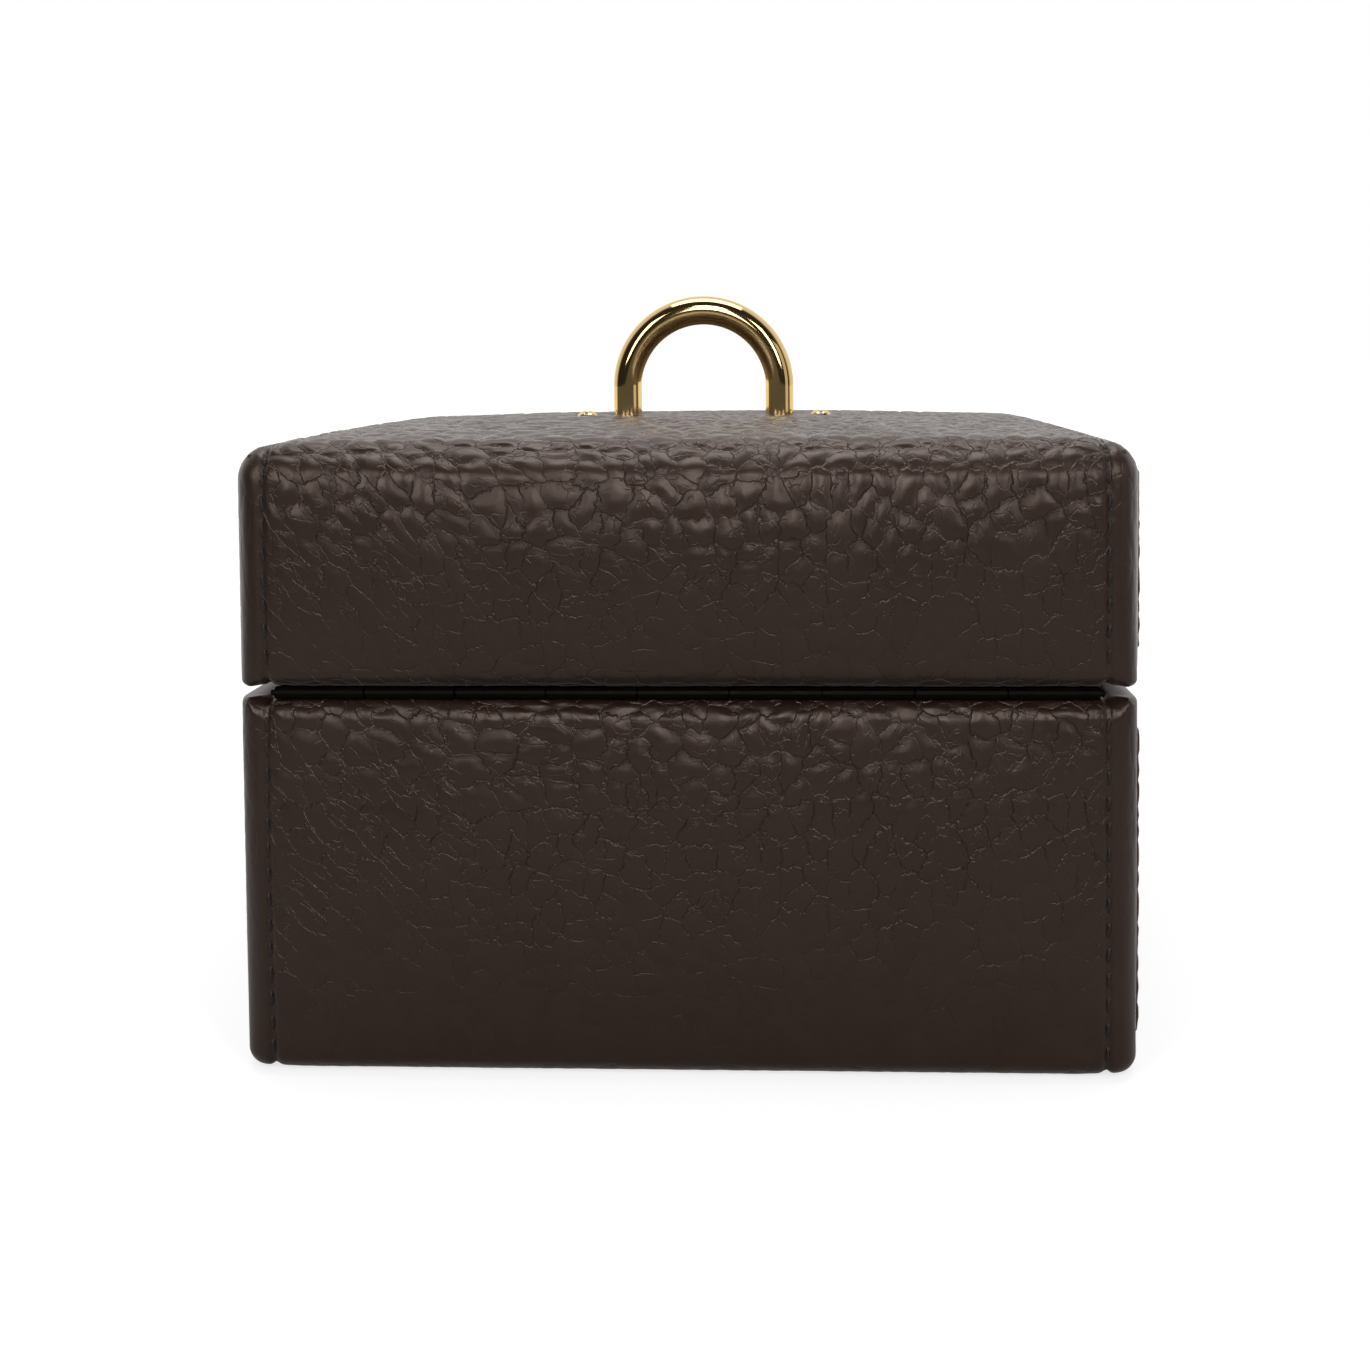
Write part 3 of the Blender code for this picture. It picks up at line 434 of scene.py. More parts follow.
def lattice_surface(places, keep):
    """Points and quads of a box's surface on stations. keep says which quads of a side stay, by their centres."""
    counts = [len(p) for p in places]
    surface = np.zeros(counts, bool)
    for axis in range(3):
        for end in (0, -1):
            where = [slice(None)] * 3
            where[axis] = end
            surface[tuple(where)] = True
    index = np.full(counts, -1)
    index[surface] = np.arange(surface.sum())
    points = np.stack(np.meshgrid(*places, indexing="ij"), axis=-1)[surface]
    quads = []
    for axis in range(3):
        for side in (-1, 1):
            face = np.take(index, 0 if side < 0 else -1, axis=axis)
            loop = np.stack([face[:-1, :-1], face[1:, :-1], face[1:, 1:], face[:-1, 1:]], axis=-1).reshape(-1, 4)
            if (side > 0) == (axis == 1):
                loop = loop[:, ::-1]
            stays = keep(axis, side, points[loop].mean(axis=1))
            quads.append(loop[stays])
    quads = np.concatenate(quads)
    used, compact = np.unique(quads, return_inverse=True)
    return points[used], compact.reshape(-1, 4)


def softened(points, half, corner, ends, crowns):
    """Points of a box's surface moved onto rounded corners, filleted ends and crowned faces, with the way out.

    corner is the radius of the upright edges, and ends the fillet radii at the low and the high end.
    """
    half = np.array(half)
    fillet = np.where(points[:, 2] < 0, ends[0], ends[1])
    side = np.sign(points)
    reach = np.abs(points)
    into = np.clip((reach[:, :2] - (half[:2] - fillet[:, None])) / fillet[:, None], 0, 1)
    outward = into.max(axis=1)
    upward = np.clip((reach[:, 2] - (half[2] - fillet)) / fillet, 0, 1)
    length = np.hypot(outward, upward)
    length = np.where(length > 0, length, 1.0)
    shrink = np.where(outward > 0, 1.0 / length, 1.0)
    moved = half[:2] - fillet[:, None] + fillet[:, None] * into * shrink[:, None]
    flat = np.where(into > 0, moved, reach[:, :2])
    rise = half[2] - fillet + fillet * upward / length
    height = np.where(upward > 0, rise, reach[:, 2])
    quarter = np.clip((flat - (half[:2] - corner)) / corner, 0, None)
    size = np.hypot(*quarter.T)
    size = np.where(size > 0, size, 1.0)
    round_off = (quarter.max(axis=1) / size)[:, None]
    rounded = np.where(quarter.min(axis=1, keepdims=True) > 0, half[:2] - corner + corner * quarter * round_off, flat)
    shaped = np.column_stack([rounded, height]) * side
    facing = quarter / np.hypot(*quarter.T).clip(1e-9)[:, None] * side[:, :2]
    lean = np.column_stack([facing * (outward / length)[:, None], upward / length * side[:, 2]])
    lean /= np.linalg.norm(lean, axis=1, keepdims=True).clip(1e-9)
    for (axis, way), (crown, power) in crowns.items():
        turned = np.clip(lean[:, axis] * way, 0.0, 1.0) ** 2
        others = [i for i in range(3) if i != axis]
        spread = np.clip(np.abs(shaped[:, others]) / half[others], 0, 1)
        shaped[:, axis] += way * crown * np.prod(1 - spread**power, axis=1) * turned
    return shaped, lean


def unrolled(points, half):
    """The hide's own coordinates: across the box, and round it from the back over the top to the front."""
    x, y, z = points.T
    half_x, half_y, half_z = half
    round_back = z
    round_top = half_z + (y + half_y)
    round_front = half_z + 2 * half_y + (half_z - z)
    round_bottom = -half_z - (y + half_y)
    gaps = np.stack([y + half_y, half_z - z, half_y - y, z + half_z])
    nearest = np.argmin(gaps, axis=0)
    along = np.choose(nearest, [round_back, round_top, round_front, round_bottom])
    into_side = np.min(gaps, axis=0)
    across = np.where(np.abs(x) >= half_x * 0.9999, np.sign(x) * (half_x + into_side), x)
    return across, along


def waves(across, along, seed):
    """Slow unevenness of the padded leather, from -1 to 1."""
    total = np.zeros_like(across)
    for i in range(1, 5):
        turn = seed * 1.7 + i * 2.4
        pitch = 2 * math.pi / ((0.055 - 0.009 * i))
        total += np.sin(pitch * (across * math.cos(turn) + along * math.sin(turn)) + seed * i) / 4
    return total


def smooth_step(value, low, high):
    """0 below low, 1 above high, and a smooth rise between."""
    share = np.clip((value - low) / (high - low), 0, 1)
    return share * share * (3 - 2 * share)


class LeatherBody:
    """The outer form of the lid or the base, from the place of its CAD node."""

    def __init__(self, node_name, crowned_top, ends, seed):
        low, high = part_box(node_name)
        top = high.z - (TOP_CROWN if crowned_top else 0.0)
        self.crowned_top = crowned_top
        self.high_z = top
        self.half = (high.x, -low.y - PANEL_CROWN, (top - low.z) / 2)
        self.centre = np.array([0.0, 0.0, (top + low.z) / 2])
        self.ends = ends
        shown = (PANEL_CROWN + SHOULDER_CROWN, np.array(SHOWN_CROWN_POWERS))
        self.crowns = {(1, -1): shown, (1, 1): (PANEL_CROWN, PANEL_CROWN_POWER)}
        if crowned_top:
            self.crowns[(2, 1)] = (TOP_CROWN, TOP_CROWN_POWER)
        self.seed = seed
        self.stitch_x = self.half[0] - STITCH_INSET
        panel_low, panel_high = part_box(node_name.replace("wrap", "left_panel"))
        self.window_y = panel_high.y + PANEL_SEAM
        self.window_z = (panel_low.z - PANEL_SEAM, panel_high.z + PANEL_SEAM)

    def surface(self, points):
        """Shaped places, ways out and hide coordinates of lattice points."""
        shaped, lean = softened(points, self.half, CORNER_RADIUS, self.fillets(points), self.crowns)
        across, along = unrolled(points, self.half)
        sunk = self.groove(points, along)
        shaped -= lean * sunk[:, None]
        shaped += lean * (waves(across, along, self.seed) * WAVE_HEIGHT * self.calm(lean))[:, None]
        return shaped + self.centre, lean, across, along

    def fillets(self, points):
        """Fillet radii of the low and the high end, wider along the hinge so that the lid can turn."""
        inward = smooth_step(self.half[0] - np.abs(points[:, 0]), *HINGE_RADIUS_FADE)
        backward = smooth_step(-points[:, 1], 0.0, self.half[1] / 4)
        seam = SEAM_RADIUS + (HINGE_RADIUS - SEAM_RADIUS) * inward * backward
        return (seam, self.ends[1]) if self.crowned_top else (self.ends[0], seam)

    def calm(self, lean):
        """1 on the flats and 0 on the rounded edges."""
        return smooth_step(np.max(np.abs(lean), axis=1), 0.9, 1.0)

    def groove(self, points, along):
        """How deep the leather is drawn in beside the stitches."""
        off = np.abs(points[:, 0]) - self.stitch_x
        beat = 0.5 + 0.5 * np.cos(2 * math.pi * along / STITCH_PITCH)
        narrow = np.exp(-((off / GROOVE_HALF_WIDTH) ** 2))
        wide = np.exp(-((off / GROOVE_BAND) ** 2))
        sewn = np.abs(points[:, 0]) < self.half[0] * 0.9999
        depth = GROOVE_DEPTH * (1 - PUCKER + PUCKER * beat)
        return np.where(sewn, narrow * depth + wide * GROOVE_DEPTH * 0.25, 0.0)

    def stations(self, marks):
        """Stations of the three axes, finer across the stitches."""

        def gap_x(place):
            near = abs(abs(place) - self.stitch_x) < GROOVE_BAND / 2
            return STITCH_GRID_GAP if near else GRID_GAP

        def gap_other(place):
            return GRID_GAP

        seam = [(SEAM_RADIUS, SEAM_STEPS), (HINGE_RADIUS, EDGE_STEPS)]
        corner = [(CORNER_RADIUS, EDGE_STEPS), (TOP_RADIUS, EDGE_STEPS), *seam]
        x_marks = [s * m for s in (-1, 1) for m in (*marks[0], self.stitch_x - GROOVE_BAND / 2)]
        y_marks = [s * m for s in (-1, 1) for m in marks[1]]
        z_marks = [m - self.centre[2] for m in marks[2]]
        ends = [seam if radius == SEAM_RADIUS else [(radius, EDGE_STEPS)] for radius in self.ends]
        return [
            axis_places(self.half[0], (corner, corner), x_marks, gap_x),
            axis_places(self.half[1], (corner, corner), y_marks, gap_other),
            axis_places(self.half[2], ends, z_marks, gap_other),
        ]


def relief_of(body, across, along, panel_low):
    """How strong the grain is, and so how much painted shade darkens its creases: full at the top of a panel, worn
    smooth at its foot and on the rolled edges.
    """
    height = (along + body.half[2]) / (2 * body.half[2])
    from_front = (along - body.half[2] - 2 * body.half[1]) / (2 * body.half[2])
    height = np.where(from_front > 0, 1 - from_front, height)
    sway = 0.12 * waves(across, along, body.seed + 3)
    strong = smooth_step(height + sway, 0.05, 0.75)
    over_top = smooth_step(height, 0.98, 1.1)
    relief = panel_low + (1 - panel_low) * strong
    relief += (TOP_RELIEF if body.crowned_top else RIM_RELIEF) * over_top
    edge = smooth_step(np.abs(across), body.stitch_x - 1.5 * MM, body.stitch_x + 0.5 * MM)
    return relief * (1 - 0.85 * edge)


def grain_of(across, along):
    """The grain's own coordinates in millimetres: slanting at the left, drawn out upright at the right."""
    left = smooth_step(-across, 0.005, 0.05)
    right = smooth_step(across, -0.005, 0.03)
    near = GRAIN_TURN * np.tanh(along / GRAIN_TURN)
    u = across * (1 + 0.12 * left + 0.08 * right) + 0.62 * near * left
    v = along - near * (0.22 * left + 0.25 * right)
    return np.stack([u, v, np.zeros_like(u)], axis=1) / MM


def pebble_group():
    """Geometry nodes that lift the mesh by the same grain that the material shows."""
    tree = bpy.data.node_groups.new("pebbles", "GeometryNodeTree")
    tree.interface.new_socket("Geometry", in_out="INPUT", socket_type="NodeSocketGeometry")
    tree.interface.new_socket("Geometry", in_out="OUTPUT", socket_type="NodeSocketGeometry")
    source = tree.nodes.new("NodeGroupInput")
    result = tree.nodes.new("NodeGroupOutput")
    place = node(tree, "GeometryNodeInputNamedAttribute", data_type="FLOAT_VECTOR")
    place.inputs["Name"].default_value = "grain"
    relief = node(tree, "GeometryNodeInputNamedAttribute", data_type="FLOAT")
    relief.inputs["Name"].default_value = "relief"
    height = calc(tree, "MULTIPLY", pillows(tree, place.outputs["Attribute"]), relief.outputs["Attribute"])
    normal = node(tree, "GeometryNodeInputNormal").outputs[0]
    height = calc(tree, "MULTIPLY", height, MM)
    lift = node(tree, "ShaderNodeVectorMath", {"Vector": normal, "Scale": height}, operation="SCALE")
    moved = node(tree, "GeometryNodeSetPosition", {"Geometry": source.outputs[0], "Offset": lift.outputs[0]})
    tree.links.new(moved.outputs[0], result.inputs[0])
    return tree


PEBBLES = pebble_group()


def settle(piece, *modifiers):
    """Add modifiers, each a type with its settings, and keep what they make as the mesh."""
    for kind, settings in modifiers:
        modifier = piece.modifiers.new(kind.lower(), kind)
        for key, value in settings.items():
            setattr(modifier, key, value)
    graph = bpy.context.evaluated_depsgraph_get()
    graph.update()
    evaluated = piece.evaluated_get(graph)
    mesh = bpy.data.meshes.new_from_object(evaluated, preserve_all_data_layers=True, depsgraph=graph)
    piece.modifiers.clear()
    piece.data = mesh
    mesh.shade_smooth()


def leather_wrap(name, body, body_name, marks, keep, panel_low, node_name):
    """The fine leather that stands for a CAD wrap."""
    points, quads = lattice_surface(body.stations(marks), keep)
    shaped, _, across, along = body.surface(points)
    attributes = {"grain": grain_of(across, along), "relief": relief_of(body, across, along, panel_low)}
    piece = make_piece(name, shaped, quads, LEATHER, attributes)
    piece.vertex_groups.new(name="inner")
    skin = {"thickness": SKIN, "offset": -1.0, "shell_vertex_group": "inner"}
    coarse = {"ratio": COARSE_SHARE, "vertex_group": "inner"}
    settle(piece, ("NODES", {"node_group": PEBBLES}), ("SOLIDIFY", skin), ("DECIMATE", coarse))
    place_piece(piece, body_name, "leather", node_name)
    return piece


def inside(centres, axes, half_sizes):
    """Whether quad centres lie within a window given by half sizes on two axes."""
    within = np.ones(len(centres), bool)
    for axis, half in zip(axes, half_sizes):
        within &= np.abs(centres[:, axis]) < half
    return within


def side_window(body, centres):
    """The window for a side panel."""
    height = centres[:, 2] + body.centre[2]
    low, high = body.window_z
    return (np.abs(centres[:, 1]) < body.window_y) & (height > low) & (height < high)


def mouth(body, centres):
    """The opening inside the turned-in rim."""
    return inside(centres, (0, 1), (body.half[0] - RIM_WIDTH, body.half[1] - RIM_WIDTH))


def wrap_marks(body, extra_x=(), extra_y=(), extra_z=()):
    """Where the windows' edges lie on the three axes."""
    x_marks = [body.half[0] - RIM_WIDTH, *extra_x]
    y_marks = [body.half[1] - RIM_WIDTH, body.window_y, *extra_y]
    z_marks = [*body.window_z, *extra_z]
    return x_marks, y_marks, z_marks


LID = LeatherBody("lid_wrap", True, (SEAM_RADIUS, TOP_RADIUS), 1.0)
BASE = LeatherBody("base_wrap", False, (FOOT_RADIUS, SEAM_RADIUS), 2.0)


def near_points(centres, places, radius):
    """Whether quad centres lie near any of some places across the top."""
    near = np.zeros(len(centres), bool)
    for x, y in places:
        near |= np.hypot(centres[:, 0] - x, centres[:, 1] - y) < radius
    return near


def build_lid_wrap():
    """The lid's leather, with holes under the handle's feet and the screws."""
    _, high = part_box("handle_loop")
    foot = high.x - HANDLE_BAR_RADIUS
    screw_low, screw_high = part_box("handle_right_screw")
    screw = (screw_low.x + screw_high.x) / 2

    def keep(axis, side, centres):
        if axis == 0:
            return ~side_window(LID, centres)
        if axis == 2 and side < 0:
            return ~mouth(LID, centres)
        if axis == 2:
            feet = near_points(centres, [(-foot, 0.0), (foot, 0.0)], HANDLE_BAR_RADIUS * FOOT_HOLE_SHARE)
            screws = near_points(centres, [(-screw, 0.0), (screw, 0.0)], SCREW_SHANK_RADIUS)
            return ~(feet | screws)
        return np.ones(len(centres), bool)

    return leather_wrap("lid_leather", LID, "lid", wrap_marks(LID), keep, 0.45, "lid_wrap")


def build_base_wrap():
    """The base's leather, with windows for the bottom panel and the drawers."""
    low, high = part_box("left_drawer_front")
    drawer_reach = -low.x + 0.4 * MM
    window_low = low.z - 0.3 * MM
    window_high = high.z + 0.5 * MM

    def keep(axis, side, centres):
        if axis == 0:
            return ~side_window(BASE, centres)
        if axis == 2 and side > 0:
            return ~mouth(BASE, centres)
        if axis == 2:
            return ~inside(centres, (0, 1), (BASE.half[0] - BOTTOM_BORDER, BASE.half[1] - BOTTOM_BORDER))
        if side > 0:
            height = centres[:, 2] + BASE.centre[2]
            return ~((np.abs(centres[:, 0]) < drawer_reach) & (height > window_low) & (height < window_high))
        return np.ones(len(centres), bool)

    extra_x = (BASE.half[0] - BOTTOM_BORDER, drawer_reach)
    extra_y = (BASE.half[1] - BOTTOM_BORDER,)
    marks = wrap_marks(BASE, extra_x, extra_y, (window_low, window_high))
    return leather_wrap("base_leather", BASE, "base", marks, keep, 0.16, "base_wrap")


def on_rim(body, along):
    """Lattice places round the box at a distance along the hide, in its Y and Z."""
    _, half_y, half_z = body.half
    back = along < half_z
    top = (along >= half_z) & (along < half_z + 2 * half_y)
    y = np.where(back, -half_y, np.where(top, along - half_z - half_y, half_y))
    z = np.where(back, along, np.where(top, half_z, half_z + 2 * half_y + half_z - along))
    return y, z


def stitch_tube(centres, ways_out, ways_across, start):
    """A tube along a stitch, closed at both ends."""
    sides = 8
    rings = []
    for centre, out, across, share in zip(centres, ways_out, ways_across, np.linspace(-1, 1, len(centres))):
        radius = THREAD_RADIUS * math.sqrt(max(0.05, 1 - share**6))
        for i in range(sides):
            angle = 2 * math.pi * i / sides
            rings.append(centre + radius * (math.cos(angle) * across + math.sin(angle) * out))
    faces = []
    for ring in range(len(centres) - 1):
        for i in range(sides):
            j = (i + 1) % sides
            a = start + ring * sides
            faces.append((a + i, a + j, a + sides + j, a + sides + i))
    last = start + (len(centres) - 1) * sides
    for end, step in ((start, -1), (last, 1)):
        for k in range(sides // 2 - 1):
            quad = [end + k, end + k + 1, end + sides - 2 - k, end + sides - 1 - k]
            faces.append(tuple(quad[::step]))
    return rings, faces


def build_stitches(name, body, body_name, spans):
    """Rows of stitches down both side edges, sunk at their ends and arched between."""
    vertices = []
    faces = []
    for low, high in spans:
        count = int((high - low) / STITCH_PITCH)
        first = (math.floor(low / STITCH_PITCH) + 1) * STITCH_PITCH
        for side in (-1, 1):
            for i in range(count):
                middle = first + i * STITCH_PITCH + STITCH_PITCH / 2
                if middle + STITCH_LENGTH / 2 > high:
                    continue
                steps = np.linspace(-1, 1, 9)
                along = middle + steps * STITCH_LENGTH / 2
                y, z = on_rim(body, along)
                x = side * (body.stitch_x + np.tan(STITCH_SLANT) * steps * STITCH_LENGTH / 2)
                shaped, lean, _, _ = body.surface(np.stack([x, y, z], axis=1))
                arch = THREAD_ARCH * (1 - steps**4) - THREAD_RADIUS * 1.1 * steps**4
                centres = shaped + lean * arch[:, None]
                across = np.cross(lean, np.gradient(centres, axis=0))
                across /= np.linalg.norm(across, axis=1, keepdims=True)
                rings, tube = stitch_tube(centres, lean, across, len(vertices))
                vertices.extend(rings)
                faces.extend(tube)
    piece = make_piece(name, np.array(vertices), np.array(faces), THREAD)
    place_piece(piece, body_name, "leather")
    return piece


def build_all_stitches():
    """Stitches round the lid, and on the base above its foot and its drawers."""
    margin = STITCH_MARGIN
    lid_end = 3 * LID.half[2] + 2 * LID.half[1]
    build_stitches("lid_stitches", LID, "lid", [(-LID.half[2] + margin, lid_end - margin)])
    _, drawer_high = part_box("left_drawer_front")
    front_start = BASE.half[2] + 2 * BASE.half[1]
    front_end = front_start + BASE.high_z - drawer_high.z - margin
    back = (-BASE.half[2] + margin, BASE.half[2] - margin)
    build_stitches("base_stitches", BASE, "base", [back, (front_start + margin, front_end)])


def soft_panel(name, node_name, body_name, radius, crowns, gap, relief, seed):
    """A padded leather panel in place of a CAD one, with grain on it."""
    low, high = (np.array(corner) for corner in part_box(node_name))
    thin = int(np.argmin(high - low))
    for (axis, side), (crown, _) in crowns.items():
        if side < 0:
            low[axis] += crown
        else:
            high[axis] -= crown
    half = (high - low) / 2
    band = [(radius, PANEL_EDGE_STEPS)]
    places = [axis_places(h, (band, band), [], lambda place: gap) for h in half]
    points, quads = lattice_surface(places, lambda axis, side, centres: np.ones(len(centres), bool))
    shaped, lean = softened(points, half, radius, (radius, radius), crowns)
    u, v = [i for i in range(3) if i != thin]
    offset = seed * 41.0 * MM
    grain = np.stack([points[:, u] + offset, points[:, v] + offset, np.zeros(len(points))], axis=1) / MM
    strength = relief * smooth_step(np.abs(lean[:, thin]), 0.3, 1.0)
    centre = (low + high) / 2
    piece = make_piece(name, shaped + centre, quads, LEATHER, {"grain": grain, "relief": strength})
    settle(piece, ("NODES", {"node_group": PEBBLES}))
    place_piece(piece, body_name, "leather", node_name)
    return piece


def build_side_panels():
    """Leather panels in the side windows."""
    seed = 1
    for prefix in ("lid", "base"):
        for word in ("left", "right"):
            name = f"{prefix}_{word}_side_leather"
            soft_panel(name, f"{prefix}_{word}_panel", prefix, SIDE_PANEL_RADIUS, {}, PANEL_GAP, 0.8, seed)
            seed += 1


def build_drawer_fronts():
    """Padded leather drawer fronts."""
    for seed, word in enumerate(("left", "right"), 5):
        crowns = {(1, 1): (PANEL_CROWN, PANEL_CROWN_POWER)}
        name = f"{word}_drawer_leather"
        body = f"{word}_drawer"
        soft_panel(name, f"{word}_drawer_front", body, FRONT_RADIUS, crowns, PANEL_GAP, 0.8, seed)


def turned_mesh(name, profile, place, material, lay=None):
    """Spin a profile of (radius, height) points about Z, turn it and put it in place."""
    builder = bmesh.new()
    points = [builder.verts.new((radius, 0.0, height)) for radius, height in profile]
    edges = [builder.edges.new(pair) for pair in zip(points, points[1:])]
    bmesh.ops.spin(
        builder, geom=points + edges, axis=(0, 0, 1), cent=(0, 0, 0), angle=2 * math.pi, steps=ROUND_STEPS
    )
    bmesh.ops.remove_doubles(builder, verts=builder.verts, dist=1e-7)
    bmesh.ops.recalc_face_normals(builder, faces=builder.faces)
    if lay is not None:
        bmesh.ops.transform(builder, matrix=lay, verts=builder.verts)
    bmesh.ops.translate(builder, verts=builder.verts, vec=place)
    mesh = bpy.data.meshes.new(name)
    builder.to_mesh(mesh)
    builder.free()
    mesh.materials.append(material)
    mesh.shade_smooth()
    mesh.set_sharp_from_angle(angle=math.radians(40))
    piece = bpy.data.objects.new(name, mesh)
    bpy.context.scene.collection.objects.link(piece)
    return piece


def build_handle():
    """The polished loop, in place of the CAD loop."""
    _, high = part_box("handle_loop")
    bend_radius = high.x - HANDLE_BAR_RADIUS
    centre_z = high.z - high.x
    foot = LID.high_z + TOP_CROWN - 0.8 * MM
    path = [(-bend_radius, foot + (centre_z - foot) * i / 8, 0.0) for i in range(8)]
    for step in range(HANDLE_BEND_STEPS + 1):
        angle = math.pi * (1 - step / HANDLE_BEND_STEPS)
        path.append((bend_radius * math.cos(angle), centre_z + bend_radius * math.sin(angle), angle))
    path += [(bend_radius, z, 0.0) for _, z, _ in reversed(path[:8])]
    vertices = []
    for x, z, _ in path:
        out = Vector((x, 0.0, max(0.0, z - centre_z))).normalized()
        for i in range(HANDLE_SIDES):
            angle = 2 * math.pi * i / HANDLE_SIDES
            offset = out * math.cos(angle) * HANDLE_BAR_RADIUS
            vertices.append((x + offset.x, math.sin(angle) * HANDLE_BAR_RADIUS, z + offset.z))
    faces = []
    for ring in range(len(path) - 1):
        for i in range(HANDLE_SIDES):
            j = (i + 1) % HANDLE_SIDES
            a = ring * HANDLE_SIDES
            faces.append((a + i, a + j, a + HANDLE_SIDES + j, a + HANDLE_SIDES + i))
    piece = make_piece("polished_handle", np.array(vertices), np.array(faces), GOLD)
    close_ends(piece)
    place_piece(piece, "lid", "gold", "handle_loop")


def close_ends(piece):
    """Fill open ends and turn all faces out."""
    builder = bmesh.new()
    builder.from_mesh(piece.data)
    bmesh.ops.holes_fill(builder, edges=builder.edges)
    bmesh.ops.recalc_face_normals(builder, faces=builder.faces)
    builder.to_mesh(piece.data)
    builder.free()


def build_screws():
    """Domed slotted screws beside the handle."""
    for word in ("left", "right"):
        node_name = f"handle_{word}_screw"
        low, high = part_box(node_name)
        radius = (high.x - low.x) / 2
        x = (high.x + low.x) / 2
        seat = high.z - SCREW_DOME
        end = low.z - seat
        profile = [(0.0, SCREW_DOME)]
        for i in range(1, DOME_STEPS + 1):
            angle = math.pi / 2 * i / DOME_STEPS
            profile.append((radius * math.sin(angle), SCREW_DOME * math.cos(angle)))
        profile += [(radius, -SCREW_RIM), (SCREW_SHANK_RADIUS, -SCREW_RIM)]
        profile += [(SCREW_SHANK_RADIUS, end), (0.0, end)]
        piece = turned_mesh(f"{word}_dome_screw", profile, (x, 0.0, seat), GOLD)
        cut_slot(piece, (x, 0.0, high.z), radius)
        place_piece(piece, "lid", "gold", node_name)


def cut_slot(piece, top, radius):
    """Cut a straight driver slot along Y across a dome."""
    builder = bmesh.new()
    size = Matrix.Diagonal((SLOT_WIDTH, radius * 4, SLOT_HEIGHT, 1.0))
    bmesh.ops.create_cube(builder, size=1.0, matrix=Matrix.Translation(top) @ size)
    mesh = bpy.data.meshes.new("slot_cutter")
    builder.to_mesh(mesh)
    builder.free()
    cutter = bpy.data.objects.new("slot_cutter", mesh)
    bpy.context.scene.collection.objects.link(cutter)
    settle(piece, ("BOOLEAN", {"object": cutter, "operation": "DIFFERENCE", "solver": "EXACT"}))
    bpy.data.objects.remove(cutter)
    piece.data.set_sharp_from_angle(angle=math.radians(35))


def build_pulls():
    """Turned drawer pulls."""
    for word in ("left", "right"):
        node_name = f"{word}_drawer_pull"
        low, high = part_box(node_name)
        ball = (high.x - low.x) / 2
        length = high.y - low.y
        centre = length - ball
        neck = 1.6 * MM
        base = 2.6 * MM
        profile = [(0.0, 0.0), (base * 0.92, 0.0), (base, 0.12 * MM), (base, 0.5 * MM), (base * 0.9, 0.8 * MM)]
        profile += [(neck * 1.25, 1.05 * MM), (neck, 1.5 * MM)]
        start = math.asin(neck / ball)
        steps = 28
        for i in range(steps + 1):
            angle = start + (math.pi - start) * i / steps
            profile.append((ball * math.sin(angle), centre - ball * math.cos(angle)))
        profile[-1] = (0.0, length)
        lay = Matrix.Rotation(-math.pi / 2, 4, "X")
        place = ((high.x + low.x) / 2, low.y, (high.z + low.z) / 2)
        piece = turned_mesh(f"{word}_turned_pull", profile, place, GOLD, lay)
        place_piece(piece, f"{word}_drawer", "gold", node_name)


def finish_cad_nodes():
    """Materials and eased edges for the CAD nodes that show as they are."""
    finishes = {"board": BOARD, "suede": SUEDE, "bronze": SHADE_DARK_BRONZE, "steel": STEEL, "gold": GOLD, "foam": FOAM}
    slots = {s["node"]: s["material_slot"] for s in frame["record"]["subparts"]}
    for name, cad in NODES.items():
        if cad.hide_render:
            continue
        slot = slots[name]
        material = PLAIN_LEATHER if slot == "leather" else finishes[slot]
        cad.data.materials.clear()
        cad.data.materials.append(material)
        if slot in ("board", "suede", "leather"):
            weld = cad.modifiers.new("joined", "WELD")
            weld.merge_threshold = WELD_REACH
            bevel = cad.modifiers.new("eased", "BEVEL")
            bevel.width = EASED_EDGE
            bevel.segments = 2
            bevel.limit_method = "ANGLE"


def build_ring_rolls():
    """Padded suede rolls that hold rings between them, gathered at their ends."""
    for i in range(1, RING_ROLLS + 1):
        name = f"ring_roll_{i}"
        low, high = (np.array(corner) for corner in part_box(name))
        half = (high - low) / 2
        turn = np.linspace(0, 2 * math.pi, ROLL_SIDES, endpoint=False)
        share = np.sin(np.linspace(-math.pi / 2, math.pi / 2, ROLL_RINGS + 2)[1:-1])
        full = (1 - np.abs(share) ** ROLL_END_POWER) ** (1 / ROLL_END_POWER)
        gathers = 0.5 + 0.5 * np.cos(ROLL_GATHERS * turn + i)
        pull = ROLL_GATHER_DEPTH * smooth_step(np.abs(share), 0.6, 1.0)
        size = full[:, None] * (1 - pull[:, None] * gathers)
        y = half[1] * size * rounded_wave(np.cos(turn), ROLL_SECTION_POWER)
        z = half[2] * size * rounded_wave(np.sin(turn), ROLL_SECTION_POWER)
        x = np.repeat(half[0] * share[:, None], ROLL_SIDES, axis=1)
        points = np.stack([x, y, z], axis=-1).reshape(-1, 3)
        points = np.vstack([points, [[-half[0], 0, 0], [half[0], 0, 0]]]) + (low + high) / 2
        piece = make_piece(f"padded_roll_{i}", points, tube_faces(ROLL_RINGS, ROLL_SIDES, True), SUEDE)
        place_piece(piece, "base", "suede", name)


def rounded_wave(wave, power):
    """A sine or cosine bent so that two of them draw a rounded rectangle."""
    return np.sign(wave) * np.abs(wave) ** (2 / power)


